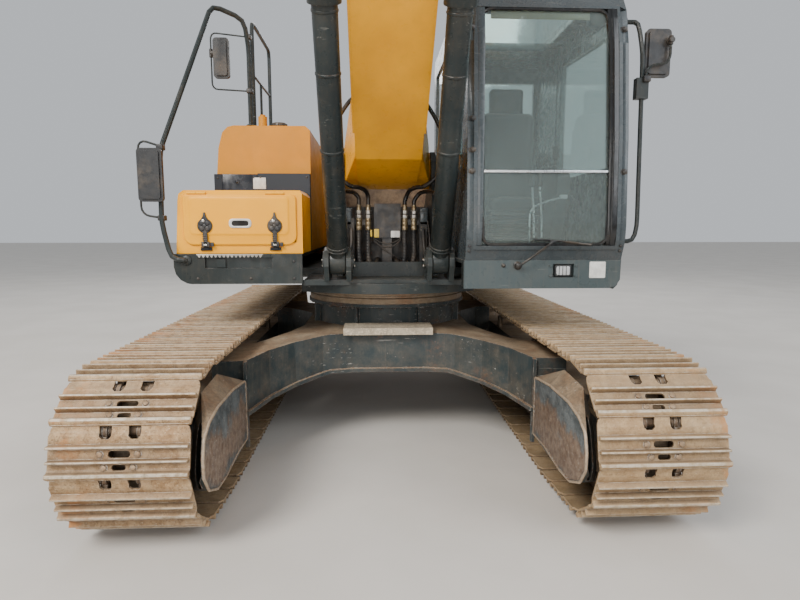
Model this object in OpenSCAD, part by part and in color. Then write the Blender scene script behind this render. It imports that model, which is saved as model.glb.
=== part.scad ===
/* [Tracks] */
// Track gauge, centre to centre
gauge = 2390; // [2190:5:2500]
// Width of a track shoe
shoe_w = 600; // [450:10:700]
// Distance between idler and sprocket axles
tumbler_span = 3650; // [3650:5:3650]
// Height of the idler and sprocket axles
axle_z = 432; // [432:1:432]
// Pitch radius of idler and sprocket
pitch_r = 320; // [320:1:320]
// Number of shoes on one track
shoe_count = 49; // [49:1:49]
// Height of the grousers above the shoe plate
grouser_h = 26; // [16:1:26]
// Tracks forward of the swing centre
track_shift = 60; // [0:5:80]

/* [Carbody] */
// Underside of the carbody
belly_z = 490; // [460:5:540]
// Top of the carbody box
carbody_top = 760; // [740:5:790]
// Radius of the slew ring
slew_r = 620; // [560:5:660]

/* [Upper structure] */
// Swing centre along the row frame
swing_y = 2700; // [2600:10:2800]
// Underside of the upper frame
frame_z = 1110; // [1110:1:1120]
// Tail swing radius
tail_r = 2830; // [2780:10:2850]
// Top of the engine house
house_top = 2150; // [2050:10:2200]
// Half width of the upper structure
upper_half = 1390; // [1370:5:1400]

/* [Cab] */
// Roof height of the cab
cab_top = 2920; // [2880:10:2950]
// Inner side of the cab, from the machine's centre
cab_in = 450; // [440:5:480]
// Outer side of the cab
cab_out = 1410; // [1395:5:1410]
// Thickness of the cab wall
cab_wall = 50; // [30:5:60]

/* [Boom] */
// Boom foot pin, forward of the swing centre
foot_u = 300; // [300:1:300]
// Boom foot pin height
foot_z = 1900; // [1900:1:1900]
// Boom length, foot pin to arm pin
boom_len = 5680; // [5680:1:5680]
// Angle of the boom chord as parked
boom_deg = 14.8; // [14.8:0.1:14.8]
// Half width of the boom box
boom_half = 215; // [190:5:220]
// Boom cylinder pin, forward
bcyl_u = 900; // [900:1:900]
// Boom cylinder pin height
bcyl_z = 1255; // [1255:1:1255]
// Sideways place of the boom cylinders
bcyl_x = 335; // [335:1:340]

/* [Arm] */
// Arm length, arm pin to bucket pin
arm_len = 2920; // [2920:1:2920]
// Arm angle from level as parked
arm_deg = -49.1; // [-49.1:0.1:-49.1]
// Half width of the arm box
arm_half = 140; // [120:5:150]

/* [Bucket] */
// Bucket width
bucket_w = 1200; // [900:10:1300]
// Pin to tooth tip
bucket_r = 1450; // [1450:1:1450]
// Number of teeth
tooth_count = 5; // [4:1:6]
// Thickness of the bucket's plates
bucket_t = 25; // [16:1:30]

/* [Hidden] */

// colours
c_dark = [0.22, 0.26, 0.27];
c_orange = [0.84, 0.5, 0.14];
c_yellow = [0.98, 0.7, 0.2];
c_steel = [0.5, 0.45, 0.38];
c_chrome = [0.75, 0.76, 0.78];
c_glass = [0.6, 0.72, 0.68];
c_black = [0.08, 0.08, 0.09];

// small gap between pieces that touch in life
gap = 0.3;
// deck heights, cab floor and the counterweight's front face
deck_z = 1185;
deck_top = 1310;
cab_floor = 1282;
counter_u = -2060;
// half width of a track frame
frame_half = 145;
// hinge lines, forward and up, and the cab door's hinge
hood_hinge = [-1232, house_top + 14];
lid_hinge = [890, 1700];
door_u = 36;

// A side profile (forward, up) made solid from x0 to x1.
module side(x0, x1) translate([x1, 0, 0]) rotate([90, 0, -90]) linear_extrude(x1 - x0) children();
// A front profile (x, up) made solid from u0 to u1 forward.
module front(u0, u1) translate([0, -u0, 0]) rotate([90, 0, 0]) linear_extrude(u1 - u0) children();
// A box from low to high, in x, forward and up.
module block(x0, x1, u0, u1, z0, z1) translate([x0, -u1, z0]) cube([x1 - x0, u1 - u0, z1 - z0]);
// A round bar along x at (forward, up).
module xbar(u, z, x0, x1, r) translate([x0, -u, z]) rotate([0, 90, 0]) cylinder(r = r, h = x1 - x0);
module at_swing() translate([0, swing_y, 0]) children();
module at_tracks() translate([0, swing_y - track_shift, 0]) children();
module both() { children(); mirror([1, 0, 0]) children(); }

// A bar with rounded bends through points given as x, forward, up.
module pipe(p, r, sides = 8, bend_r = 60) sweep(bends([for (q = p) [q.x, -q.y, q.z]], bend_r), r, sides);
// A smooth hose through points given as x, forward, up, with n steps from point to point.
module hose(p, r, sides = 8, n = 4) sweep(curve([for (q = p) [q.x, -q.y, q.z]], n), r, sides);
// Rings of flat sides along the points c, closed at both ends.
module sweep(c, r, sides) {
  last = len(c) - 1;
  s = carried(c);
  rings = [for (k = [0 : last]) let (b = cross(heading(c, k), s[k])) for (i = [0 : sides - 1])
    c[k] + r * (cos(i * 360 / sides) * s[k] + sin(i * 360 / sides) * b)];
  walls = [for (k = [0 : last - 1], i = [0 : sides - 1]) let (j = (i + 1) % sides, m = k * sides,
    q = m + sides)
    each [[m + i, q + i, q + j], [m + i, q + j, m + j]]];
  caps = [[for (i = [0 : sides - 1]) i], [for (i = [sides - 1 : -1 : 0]) last * sides + i]];
  polyhedron(points = rings, faces = concat(walls, caps));
}
function unit(v) = v / norm(v);
function heading(c, k) = unit(c[min(k + 1, len(c) - 1)] - c[max(k - 1, 0)]);
// A sideways direction carried along the points without twist.
function carried(c) = [for (k = 0, t = heading(c, 0), s = unit(cross(t, abs(t.x) > 0.7 ? [0, 1, 0] : [1,
  0, 0]));
  k < len(c); k = k + 1, t = heading(c, min(k, len(c) - 1)), s = unit(s - (s * t) * t)) s];
function bends(p, r) = [for (k = [0 : len(p) - 1]) each k == 0 || k == len(p) - 1 ? [p[k]] :
  let (a = p[k] + unit(p[k - 1] - p[k]) * min(r, norm(p[k - 1] - p[k]) * 0.45),
    b = p[k] + unit(p[k + 1] - p[k]) * min(r, norm(p[k + 1] - p[k]) * 0.45))
  [a, (a + 2 * p[k] + b) / 4, b]];
function curve(p, n) = concat([for (k = [0 : len(p) - 2], i = [0 : n - 1]) curve_pt(p, k, i / n)],
  [p[len(p) - 1]]);
function curve_pt(p, k, t) =
  let (a = p[max(k - 1, 0)], b = p[k], c = p[k + 1], d = p[min(k + 2, len(p) - 1)])
  0.5 * (2 * b + (c - a) * t + (2 * a - 5 * b + 4 * c - d) * t * t + (3 * b - a - 3 * c + d) * t * t * t);

function dir(a) = [cos(a), sin(a)];
function rev(p) = [for (k = [len(p) - 1 : -1 : 0]) p[k]];
// the same outline turned over to the other side of the machine, in reverse order
function flip(p) = [for (q = rev(p)) [-q.x, q.y]];
function raised(p, d) = [for (q = p) [q.x, q.y + d]];
function turn(p, a) = [p.x * cos(a) - p.y * sin(a), p.x * sin(a) + p.y * cos(a)];

// track path: top run, front arc, front ramp, bottom run, rear ramp, rear arc
track_x = gauge / 2;
idler_u = tumbler_span / 2;
beam_u = idler_u - 345;
tip_h = 52 + grouser_h;
run_z = tip_h;
ramp_deg = 4.5;
ramp_len = (axle_z - pitch_r * cos(ramp_deg) - run_z) / sin(ramp_deg);
run_u = idler_u + pitch_r * sin(ramp_deg) - ramp_len * cos(ramp_deg);
arc_len = pitch_r * (180 - ramp_deg) * PI / 180;
s1 = tumbler_span;
s2 = s1 + arc_len;
s3 = s2 + ramp_len;
s4 = s3 + 2 * run_u;
s5 = s4 + ramp_len;
path_len = s5 + arc_len;
// place and heading of a point on the pitch line at distance s
function on_path(s) =
  s < s1 ? [-idler_u + s, axle_z + pitch_r, 0] :
  s < s2 ? let (a = 90 - (s - s1) / pitch_r * 180 / PI)
    [idler_u + pitch_r * cos(a), axle_z + pitch_r * sin(a), a - 90] :
  s < s3 ? let (q = (s3 - s) / ramp_len)
    [run_u + q * ramp_len * cos(ramp_deg), run_z + q * ramp_len * sin(ramp_deg), -180 + ramp_deg] :
  s < s4 ? [run_u - (s - s3), run_z, -180] :
  s < s5 ? let (q = (s - s4) / ramp_len)
    [-run_u - q * ramp_len * cos(ramp_deg), run_z + q * ramp_len * sin(ramp_deg), -180 - ramp_deg] :
  let (a = -90 - ramp_deg - (s - s5) / pitch_r * 180 / PI)
    [-idler_u + pitch_r * cos(a), axle_z + pitch_r * sin(a), a - 90];
// one shoe's outline: along the track, outward
shoe_pts = [[-93, 49], [-72, tip_h], [-62, tip_h], [-54, 51], [-10, 51],
  [-2, tip_h], [6, tip_h], [14, 51], [62, tip_h - 2], [74, tip_h - 2]];
function shoe_at(k, p) = let (c = on_path((k + 0.5) * path_len / shoe_count), t = turn(p, c.z))
  [c.x + t.x, c.y + t.y];
// a plain loop at distance d outside the pitch line, n steps to each end's arc
function ring_pts(n, d) = let (step = (180 - ramp_deg) / n, r = (pitch_r + d) / cos(step / 2)) concat(
  [for (k = [0 : n - 1]) let (a = 90 - (k + 0.5) * step) [idler_u + r * cos(a), axle_z + r * sin(a)]],
  [[run_u, run_z - d], [-run_u, run_z - d]],
  [for (k = [0 : n - 1]) let (a = -90 + ramp_deg + (k + 0.5) * step)
    [-idler_u - r * cos(a), axle_z + r * sin(a)]]);

module track_loop() {
  side(-shoe_w / 2, shoe_w / 2) difference() {
    polygon([for (k = [0 : shoe_count - 1], p = shoe_pts) shoe_at(k, p)]);
    polygon(ring_pts(12, 38));
  }
  for (x = [-106, 64]) side(x, x + 42) difference() {
    polygon(ring_pts(12, 41));
    polygon(ring_pts(12, -50));
  }
}

module track_left() color(c_steel) at_tracks() translate([track_x, 0, 0]) track_loop();
module track_right() color(c_steel) at_tracks() translate([-track_x, 0, 0]) track_loop();

// undercarriage
// carbody: a quarter of its plan (x, forward), and its underside and top as seen from the front (x, up)
leg_end = track_x - frame_half - gap;
leg_plan = [[250, 800], [450, 850], [620, 960], [760, 1130], [850, 1370], [leg_end, 1370], [leg_end, 880],
  [900, 840], [720, 520], [640, 300]];
carbody_plan = concat(leg_plan, [for (q = rev(leg_plan)) [q.x, -q.y]], [for (q = leg_plan) -q],
  [for (q = rev(leg_plan)) [-q.x, q.y]]);
arch_low = [[400, belly_z], [620, belly_z - 50], [850, belly_z - 108], [leg_end, belly_z - 108]];
arch_top = [[leg_end, carbody_top - 55], [850, carbody_top - 52], [600, carbody_top - 25], [400,
  carbody_top - 2]];
module carbody() color(c_dark) at_swing() {
  intersection() {
    translate([0, 0, belly_z - 150]) linear_extrude(500) polygon(carbody_plan);
    front(-1400, 1400) polygon(concat(arch_low, arch_top, flip(arch_top), flip(arch_low)));
  }
  // rim along the lower edge
  intersection() {
    translate([0, 0, belly_z - 150]) linear_extrude(500) offset(delta = 28) polygon(carbody_plan);
    front(-1450, 1450) polygon(concat(arch_low, rev(raised(arch_low, 25)), flip(rev(raised(arch_low, 25))),
      flip(arch_low)));
  }
  // drum and flange under the slew ring, with bolts and ribs
  translate([0, 0, carbody_top - 4]) cylinder(r = slew_r - 50, h = 930 - carbody_top + 4);
  translate([0, 0, 906]) cylinder(r = slew_r + 8, h = 24);
  for (a = [5 : 10 : 355]) rotate(a) translate([slew_r - 18, 0, 892]) cylinder(r = 14, h = 15, $fn = 6);
  for (a = [22.5 : 45 : 337.5]) rotate(a) translate([slew_r - 60, -9, carbody_top - 4]) cube([50, 18,
    907 - carbody_top]);
  // plates at the ends of the front legs
  both() block(843, 863, 1360, 1392, 190, carbody_top - 56);
}

module slew_ring() color(c_steel) at_swing() translate([0, 0, 930.3]) rotate_extrude()
  polygon([[480, 0], [slew_r, 0], [slew_r, 38], [slew_r - 14, 44], [slew_r - 14, 56], [slew_r, 62],
    [slew_r, 100],
    [480, 100]]);

module front_step() color(c_steel) at_swing() {
  side(-310, 300) polygon([[640, 790], [846, 790], [846, 754], [858, 754], [858, 802], [640, 802]]);
  for (x = [-230, 190]) block(x, x + 40, 650, 780, carbody_top - 2 + gap, 791);
}

// inner guard: its edge next to the carbody, and the smaller outline toward the idler, from its axle
guard_plate = [for (q = [[-452, -172], [-243, -162], [11, -187], [164, -180], [294, -125], [357, -39],
  [358, 40],
  [333, 125], [250, 173], [105, 200], [-185, 200], [-452, 171]]) [idler_u + q.x, axle_z + q.y]];
guard_back = [[-425, -152], [-225, -152], [165, -182], [250, -145], [272, -77], [253, -3], [215, 96],
  [167, 170],
  [69, 262], [-205, 280], [-425, 180]];
module track_frames() color(c_dark) at_tracks() both() translate([track_x, 0, 0]) {
  difference() {
    side(-frame_half, frame_half) polygon([[-beam_u - 80, 345], [-beam_u, 312], [beam_u, 312],
      [beam_u + 120, 345], [beam_u + 120, 470], [beam_u, 530], [beam_u - 580, 565], [580 - beam_u, 565],
      [-beam_u, 530], [-beam_u - 80, 480]]);
    for (sgn = [-1, 1]) side(-112, 112)
      polygon([[sgn * beam_u, 200], [sgn * (beam_u + 220), 200], [sgn * (beam_u + 220), 600],
        [sgn * beam_u, 600]]);
  }
  // idler yokes
  for (x = [-140, 112]) side(x, x + 28) difference() {
    polygon([[beam_u + 110, 350], [idler_u + 75, 380], [idler_u + 75, 484], [beam_u + 110, 500]]);
    translate([idler_u, axle_z]) circle(r = 45.2);
  }
  // plate and box that carry the travel motor
  side(-250, -211 - gap) difference() {
    translate([-idler_u, axle_z])
      polygon([[362, -112], [362, 108], [125, 168], [-125, 128], [-185, 0], [-125, -132], [125, -170]]);
    translate([-idler_u, axle_z]) circle(r = 130.3);
  }
  side(-251, -140) translate([-idler_u, axle_z]) polygon([[362, -102], [265, -82], [265, 68], [362, 98]]);
  // inner guard at the front of the track, a cup that narrows outward, with the bar that carries it
  difference() {
    hull() {
      side(-355, -345) polygon(guard_plate);
      side(-266, -264) translate([idler_u, axle_z]) polygon(guard_back);
    }
    side(-356, -300) offset(delta = -8) polygon(guard_plate);
    for (u = [idler_u + 190, idler_u + 250]) xbar(u, 330, -360, -340, 12);
  }
  side(-352, -338) offset(delta = -7) polygon(guard_plate);
  side(-270, -140) polygon([[beam_u - 60, 420], [beam_u + 60, 420], [beam_u + 60, 460], [beam_u - 60,
    460]]);
  // steps on the outer side
  for (u = [-430, 430]) {
    block(frame_half - 1, frame_half + 95, u - 150, u + 150, 440, 452);
    block(frame_half + 83, frame_half + 95, u - 150, u + 150, 440, 474);
  }
  // lower guards between the rollers
  for (x = [-145, 133]) for (u = [-176, 176]) block(x, x + 12, u - 120, u + 120, 150, 320);
}

module idlers() color(c_steel) at_tracks() both() translate([track_x, -idler_u, axle_z]) rotate([0, 90,
  0]) {
  translate([0, 0, -106]) rotate_extrude() polygon([[0, 0], [88, 0], [96, 26], [112, 34], [222, 34],
    [238, 6],
    [250, 0], [269.7, 0], [269.7, 42], [290, 46], [290, 166], [269.7, 170], [269.7, 212], [250, 212],
      [238, 206],
    [222, 178], [112, 178], [96, 186], [88, 212], [0, 212]]);
  translate([0, 0, -139]) cylinder(r = 44.9, h = 278);
}

module sprockets() color(c_steel) at_tracks() both() translate([track_x, idler_u, axle_z]) rotate([0, 90,
  0]) {
  translate([0, 0, -30]) linear_extrude(60) difference() {
    polygon([for (k = [0 : 20], p = [[-5.6, 296], [-2.4, 334], [2.4, 334], [5.6, 296]])
      (p.y) * dir(k * 360 / 21 + p.x)]);
    circle(r = 120);
  }
  // hub and cover of the final drive, with its bolts
  translate([0, 0, -60]) rotate_extrude() polygon([[0, 0], [121, 0], [121, 70], [196, 78], [206, 90],
    [206, 120],
    [176, 132], [176, 176], [150, 190], [60, 190], [54, 198], [0, 198]]);
  for (a = [0 : 30 : 330]) rotate(a) translate([190, 0, 66]) cylinder(r = 11, h = 12, $fn = 6);
  for (a = [0 : 60 : 300]) rotate(a) translate([120, 0, 129]) cylinder(r = 9, h = 8, $fn = 6);
}

module travel_motors() color(c_dark) at_tracks() both() translate([track_x, idler_u, axle_z]) rotate([0,
  90, 0]) {
  translate([0, 0, -300]) cylinder(r = 118, h = 90);
  translate([0, 0, -322]) cylinder(r = 92, h = 24);
  translate([0, 0, -211]) cylinder(r = 190, h = 150.7);
  // valve block on the motor
  translate([-70, -60, -345]) cube([140, 120, 50]);
}

module lower_rollers() color(c_steel) at_tracks() both() for (k = [-4 : 4])
  translate([track_x, -k * run_u / 4, run_z + 30]) {
    translate([-130, 0, 97.5]) rotate([0, 90, 0]) rotate_extrude()
      polygon([[0, 0], [100, 0], [100, 20], [77, 24], [77, 90], [60, 96], [60, 164], [77, 170], [77, 236],
        [100, 240], [100, 260], [0, 260]]);
    translate([-142, -30, 97.5]) cube([12.1, 60, 106]);
    translate([129.9, -30, 97.5]) cube([12.1, 60, 106]);
  }

module carrier_rollers() color(c_steel) at_tracks() both() for (u = [-560, 560])
  translate([track_x, -u, axle_z + pitch_r - 50 - 60.3]) {
    translate([-112, 0, 0]) rotate([0, 90, 0]) cylinder(r = 60, h = 220);
    translate([-135, -35, -76.4]) cube([24, 70, 100]);
  }

// upper structure
module revolving_frame() color(c_dark) at_swing() {
  // ring flange with its bolts, and the neck above it
  translate([0, 0, 1030.6]) cylinder(r = slew_r + 8, h = 24);
  translate([0, 0, 1031]) cylinder(r = slew_r - 55, h = frame_z - 1030);
  for (a = [0 : 10 : 350]) rotate(a) translate([slew_r - 18, 0, 1054]) cylinder(r = 14, h = 14, $fn = 6);
  // bottom plate with its curved front lip
  block(-560, 560, counter_u + gap, 880, frame_z - 6, frame_z + 30);
  intersection() {
    translate([0, 0, 1042]) difference() {
      cylinder(r = 940, h = 70);
      translate([0, 0, -1]) cylinder(r = 922, h = 72);
    }
    block(-600, 600, 600, 960, 1000, 1200);
  }
  block(-566 + gap, 590, 868, 904, 1100, 1136);
  block(-1279.7, 1384, -2040, 420, frame_z + 5, deck_z);
  // main plates that carry the boom foot
  both() difference() {
    side(322, 358) polygon([[640, 1120], [620, 1300], [455, 1830], [440, 1960], [370, 2035], [250, 2045],
      [160, 1960], [120, 1800], [-500, 1420], [-900, 1360], [-2050, 1360], [-2050, 1120]]);
    xbar(foot_u, foot_z, 300, 400, 60);
  }
  xbar(foot_u, foot_z, -322, 322, 59.5);
  both() xbar(foot_u, foot_z, 321, 372, 60);
  both() xbar(foot_u, foot_z, 358, 366, 130);
  both() block(366, 374, foot_u - 22, foot_u + 22, foot_z - 110, foot_z);
  // stiffeners between the main plates and the deck
  both() side(396, 414) polygon([[410, 1180], [330, 1420], [-60, 1240], [-60, 1180]]);
  // ears of the boom cylinders with their collars and pins
  both() for (x = [bcyl_x - 88, bcyl_x + 56]) side(x, x + 32)
    polygon([[690, 1130], [800, 1300], [840, 1338], [bcyl_u, 1352], [955, 1332], [990, 1285], [994, 1230],
      [960, 1130]]);
  both() for (x = [bcyl_x - 96, bcyl_x + 87]) xbar(bcyl_u, bcyl_z, x, x + 9, 74);
  both() xbar(bcyl_u, bcyl_z, bcyl_x - 104, bcyl_x + 100, 44.9);
  // cross plate behind the ears
  block(-300, 300, 640, 660, 1135, 1240);
}

module side_skirts() color(c_dark) at_swing() {
  // right deck edge, rounded at its lower outer corner
  front(-2050, 930) polygon([[-1390, 1225], [-1378, 1178], [-1350, 1142], [-1310, 1120], [-1280, 1115],
    [-1280, 1290], [-566, 1290], [-566, deck_top], [-1390, deck_top]]);
  difference() {
    block(-1280.4, -566, 900, 930, 1115, 1291);
    // slot with a row of teeth above it
    block(-1191, -763, 912, 940, 1217, 1284);
  }
  for (k = [0 : 11]) block(-1236 + k * 40, -1212 + k * 40, 926, 938, 1286, 1304);
  block(-1240, -760, 926, 936, 1284, 1294);
  block(-1120, -1060, 900, 926, 1222, 1278);
  // left deck edge under the cab
  front(-2050, 1200) polygon([[1384.3, 1100], [1390, 1102], [1412, 1125], [1420, 1160], [1420, cab_floor],
    [436, cab_floor], [436, cab_floor - 20], [1384.3, cab_floor - 20]]);
  // front panel with its lamp
  difference() {
    front(1170, 1240) polygon([[440, 1109], [1345, 1109], [1385, 1124], [1410, 1160], [1412, cab_floor],
      [440, cab_floor]]);
    block(460, 1380, 1140, 1222, 1125, cab_floor - 20);
    block(990, 1120, 1200, 1250, 1176, 1258);
  }
  block(980, 1130, 1190, 1204, 1166, 1268);
  block(1010, 1100, 1203, 1226, 1184, 1250);
  for (x = [976, 1134], z = [1186, 1248]) translate([x, -1239, z]) rotate([90, 0, 0]) cylinder(r = 9,
    h = 7, $fn = 6);
}

module counterweight() color(c_orange) at_swing() {
  difference() {
    intersection() {
      translate([0, 0, 1070]) linear_extrude(1060) intersection() {
        circle(r = tail_r, $fn = 96);
        translate([-upper_half, -counter_u]) square([2 * upper_half, 900]);
      }
      // sloped rear top and bottom edges
      side(-1500, 1500) polygon([[counter_u, 1070], [-2770, 1070], [-tail_r, 1150], [-tail_r, 1720],
        [-2800, 1980], [-2700, 2130], [counter_u, 2130]]);
      front(-3000, -2000) polygon([[-1340, 1070], [1340, 1070], [upper_half, 1130], [upper_half, 2040],
        [1320, 2130], [-1320, 2130], [-upper_half, 2040], [-upper_half, 1130]]);
    }
    // hand hole in the rear and the seam below the top
    block(-260, 260, -2900, -2790, 1180, 1290);
    block(-1500, 1500, -2900, -2815, 1600, 1612);
  }
  // lifting eyes
  for (x = [-650, 650]) side(x - 18, x + 18) difference() {
    polygon([[-2380, 2125], [-2360, 2200], [-2320, 2225], [-2280, 2200], [-2260, 2125]]);
    translate([-2320, 2180]) circle(r = 22);
  }
}

module engine_block() color(c_steel) at_swing() block(-600, 500, -1950, -1330, 1360.3, 2050);

module fuel_tank() color(c_orange) at_swing() {
  front(-560, 330) polygon([[-1262, deck_top + gap], [-566, deck_top + gap], [-566, 2192], [-600, 2222],
    [-1120, 2222], [-1165, 2212], [-1205, 2172], [-1236, 2060], [-1252, 1880]]);
  // filler neck with its cap, and the sight cylinder
  translate([-820, 120, 2220]) cylinder(r = 62, h = 30);
  translate([-820, 120, 2249]) cylinder(r = 50, h = 26);
  translate([-915, -290, 2221]) cylinder(r = 32, h = 70);
  translate([-915, -290, 2290]) cylinder(r = 20, h = 14);
  // box in front of the tank, with its knob
  block(-1258, -950, 329, 394, deck_top + gap, 1866);
  block(-945, -566, 329, 398, deck_top + gap, 1872);
  translate([-1100, -393, 1812]) rotate([90, 0, 0]) cylinder(r = 12, h = 6);
}

module hydraulic_tank() color(c_orange) at_swing() {
  front(-1180, -566) polygon([[-1262, deck_top + gap], [-566, deck_top + gap], [-566, 2122], [-600, 2150],
    [-1130, 2150], [-1175, 2138], [-1210, 2100], [-1238, 2000], [-1252, 1880]]);
  translate([-900, 870, 2149]) cylinder(r = 105, h = 12);
  translate([-900, 870, 2160]) cylinder(r = 62, h = 34);
  for (a = [0 : 60 : 300]) translate([-900, 870, 2160]) rotate(a) translate([88, 0, 0]) cylinder(r = 9,
    h = 9, $fn = 6);
}

module house_panels() color(c_orange) at_swing() {
  // roof plates beside the hood
  block(-1385, -760, -2050, -1190, house_top - 6, house_top);
  block(540, 1385, -2050, -600, house_top - 6, house_top);
  block(-770, 545, -1240, -1190, house_top - 60, house_top);
  // posts at the door openings
  for (u = [-2050, -1230]) block(-1385, -1345, u, u + 40, deck_top + gap, house_top - 5);
  for (u = [-2050, -640]) block(1345, 1385, u, u + 40, cab_floor + gap, house_top - 5);
  block(540, 600, -2050, -600, cab_floor + gap, house_top - 5);
  // hinge knuckles of the hood and the two doors
  for (x = [-600, 350]) {
    knuckle_x(x, x + 60, hood_hinge);
    block(x, x + 60, -1240, -1226, house_top - 4, house_top + 12);
  }
  for (z = [1400, 1900]) {
    translate([-1396, 1226, z]) cylinder(r = 10, h = 60);
    translate([1396, 2020, z]) cylinder(r = 10, h = 60);
    block(-1396, -1384, -1226, -1216, z, z + 60);
    block(1384, 1396, -2030, -2020, z, z + 60);
  }
}
// A hinge knuckle along x at a point given as forward and up.
module knuckle_x(x0, x1, p) xbar(p.x, p.y, x0, x1, 10);

module toolbox() color(c_yellow) at_swing() {
  difference() {
    intersection() {
      side(-1400, -566) polygon([[400, deck_top + gap], [880, deck_top + gap], [880, 1690], [850, 1720],
        [400, 1726]]);
      front(300, 900) polygon([[-1386, deck_top + gap], [-566, deck_top + gap], [-566, 1696], [-590, 1730],
        [-1325, 1730], [-1356, 1698], [-1364, 1650]]);
    }
    side(-1340, -586) polygon([[420, 1330], [860, 1330], [860, 1676], [840, 1698], [420, 1704]]);
    block(-1316, -609, 850, 900, 1382, 1664);
  }
  for (x = [-1300, -800]) knuckle_x(x, x + 60, lid_hinge);
  // catches of the two latches
  for (x = latch_x) {
    block(x - 36, x + 36, 879, 889, 1330, 1351.7);
    block(x - 18, x + 18, 879, 895, 1334, 1351.7);
  }
}

latch_x = [-1190, -743];
module toolbox_lid() color(c_yellow) at_swing() {
  difference() {
    union() {
      front(880.3, 892) polygon([[-1331, 1684], [-1331, 1402], [-1320, 1377], [-1295, 1366], [-630, 1366],
        [-605, 1377], [-594, 1402], [-594, 1684]]);
      front(891, 897) polygon([[-1312, 1668], [-1312, 1410], [-1304, 1392], [-1286, 1384], [-640, 1384],
        [-622, 1392], [-614, 1410], [-614, 1668]]);
      front(896, 901) polygon([[-1036, 1490], [-1024, 1476], [-904, 1476], [-892, 1490], [-892, 1522],
        [-904, 1536],
        [-1024, 1536], [-1036, 1522]]);
    }
    block(-1022, -906, 886, 905, 1488, 1524);
  }
  block(-1310, -615, 868, 881, 1388, 1656);
  // latches: a round body with its lever, and the strap down to the catch
  for (x = latch_x) {
    translate([x, -896, 1490]) rotate([90, 0, 0]) cylinder(r = 36, h = 12);
    translate([x, -907, 1490]) rotate([90, 0, 0]) cylinder(r = 24, h = 9);
    block(x - 8, x + 8, 898, 912, 1500, 1576);
    block(x - 11, x + 11, 896, 908, 1352, 1470);
    block(x - 17, x + 17, 896, 911, 1352, 1376);
  }
  for (x = [-1239.7, -739.7]) {
    knuckle_x(x, x + 60, lid_hinge);
    block(x, x + 60, 882, 889, 1670, 1700);
  }
}

module handrails() color(c_dark) at_swing() {
  // long bar from the front corner up and over to the tank
  pipe([[-1308, 930.3, 1268], [-1308, 957, 1268], [-1395, 957, 1284], [-1454, 925, 1510], [-1454, 892,
    1960],
    [-1215, 440, 3010], [-1020, 340, 2955], [-1000, 300, 2780], [-1000, 300, 2222.3]], 17);
  // hoop on the tank with its middle bar
  pipe([[-1000, 170, 2222.3], [-1000, 170, 3000], [-1000, -520, 3000], [-1000, -520, 2222.3]], 15);
  pipe([[-1000, 170, 2620], [-1000, -520, 2620]], 10);
  pipe([[-1000, -120, 2620], [-1000, -120, 2222.3]], 10);
  // cab rail with the clamp of its mirror
  pipe([[cab_out + gap, 1130, 2700], [1445, 1130, 2700], [1480, 1160, 2690], [1490, 1215, 2500],
    [1504, 1228, 1480], [1482, 1228, 1396], [cab_out + gap, 1228, 1396]], 14);
  block(1452, 1524, 1196, 1242, 2234, 2353);
  // brackets of the mirrors
  pipe([[-1446, 880, 1990], [-1560, 885, 2026], [-1592, 885, 2000], [-1592, 885, 1590], [-1562, 885, 1556],
    [-1454, 908, 1540]], 7, 6, 24);
  pipe([[-1000, 300, 2848], [-1250, 292, 2876], [-1272, 292, 2850], [-1272, 292, 2510], [-1250, 292, 2484],
    [-1000, 300, 2470]], 6, 6, 20);
  pipe([[1508, 1230, 2340], [1510, 1238, 2400], [1545, 1240, 2428], [1625, 1240, 2436], [1645, 1240, 2470],
    [1645, 1240, 2590]], 7, 6, 20);
}
// A mirror's housing as seen from the front, with its raised back.
module mirror_head(x0, x1, u, z0, z1) {
  front(u, u + 26) offset(r = 24, $fn = 24) translate([x0 + 24, z0 + 24]) square([x1 - x0 - 48,
    z1 - z0 - 48]);
  front(u + 25, u + 36) offset(r = 14, $fn = 24) translate([x0 + 30, z0 + 30]) square([x1 - x0 - 60,
    z1 - z0 - 60]);
}
module mirrors() color(c_black) at_swing() {
  mirror_head(-1572, -1418, 944, 1640, 1970);
  xbar(885, 1845, -1584.7, -1545, 20);
  block(-1566, -1544, 878, 946, 1832, 1858);
  mirror_head(-1246, -1132, 315, 2550, 2830);
  xbar(292, 2735, -1265.7, -1228, 15);
  block(-1246, -1230, 296, 316, 2724, 2746);
  mirror_head(1512, 1664, 1180, 2366, 2640);
  translate([1645, -1214, 2566]) rotate([90, 0, 0]) cylinder(r = 20, h = 18.7);
}

cab_side = [[-560, cab_floor + gap], [1240, cab_floor + gap], [1285, 1400], [1290, 1500], [1262, 2000],
  [1200, 2560], [1150, 2760],
  [1080, 2870], [960, cab_top], [-500, cab_top], [-560, 2860]];
module cab_shell() color(c_dark) at_swing() {
  cab_walls();
  cab_knuckles(0);
  for (z = [1440, 2440]) block(cab_out - 5, cab_out + 12, 15, 29, z, z + 60);
  // raised frame round the windshield, and the bar between its two panes
  difference() {
    side(cab_in + 38, cab_out - 38) intersection() {
      difference() {
        offset(delta = 7) polygon(cab_side);
        offset(delta = -1) polygon(cab_side);
      }
      translate([1000, 1346]) square([400, 1366]);
    }
    block(cab_in + 60, cab_out - 60, 1000, 1400, 1370, 2690);
  }
  side(cab_in + 59, cab_out - 59) intersection() {
    difference() {
      offset(delta = -1) polygon(cab_side);
      offset(delta = -9.7) polygon(cab_side);
    }
    translate([1000, 1800]) square([400, 14]);
  }
  // rain edge over the door
  side(cab_out - 1, cab_out + 10) polygon([[-20, 2812], [1000, 2812], [1040, 2790], [1046, 2800], [1004,
    2822], [-20, 2822]]);
  // hatch frame on the roof
  difference() {
    block(cab_in + 130, cab_out - 130, -20, 820, cab_top - 1, cab_top + 14);
    block(cab_in + 150, cab_out - 150, 0, 800, cab_top - 60, cab_top + 20);
  }
}
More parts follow.
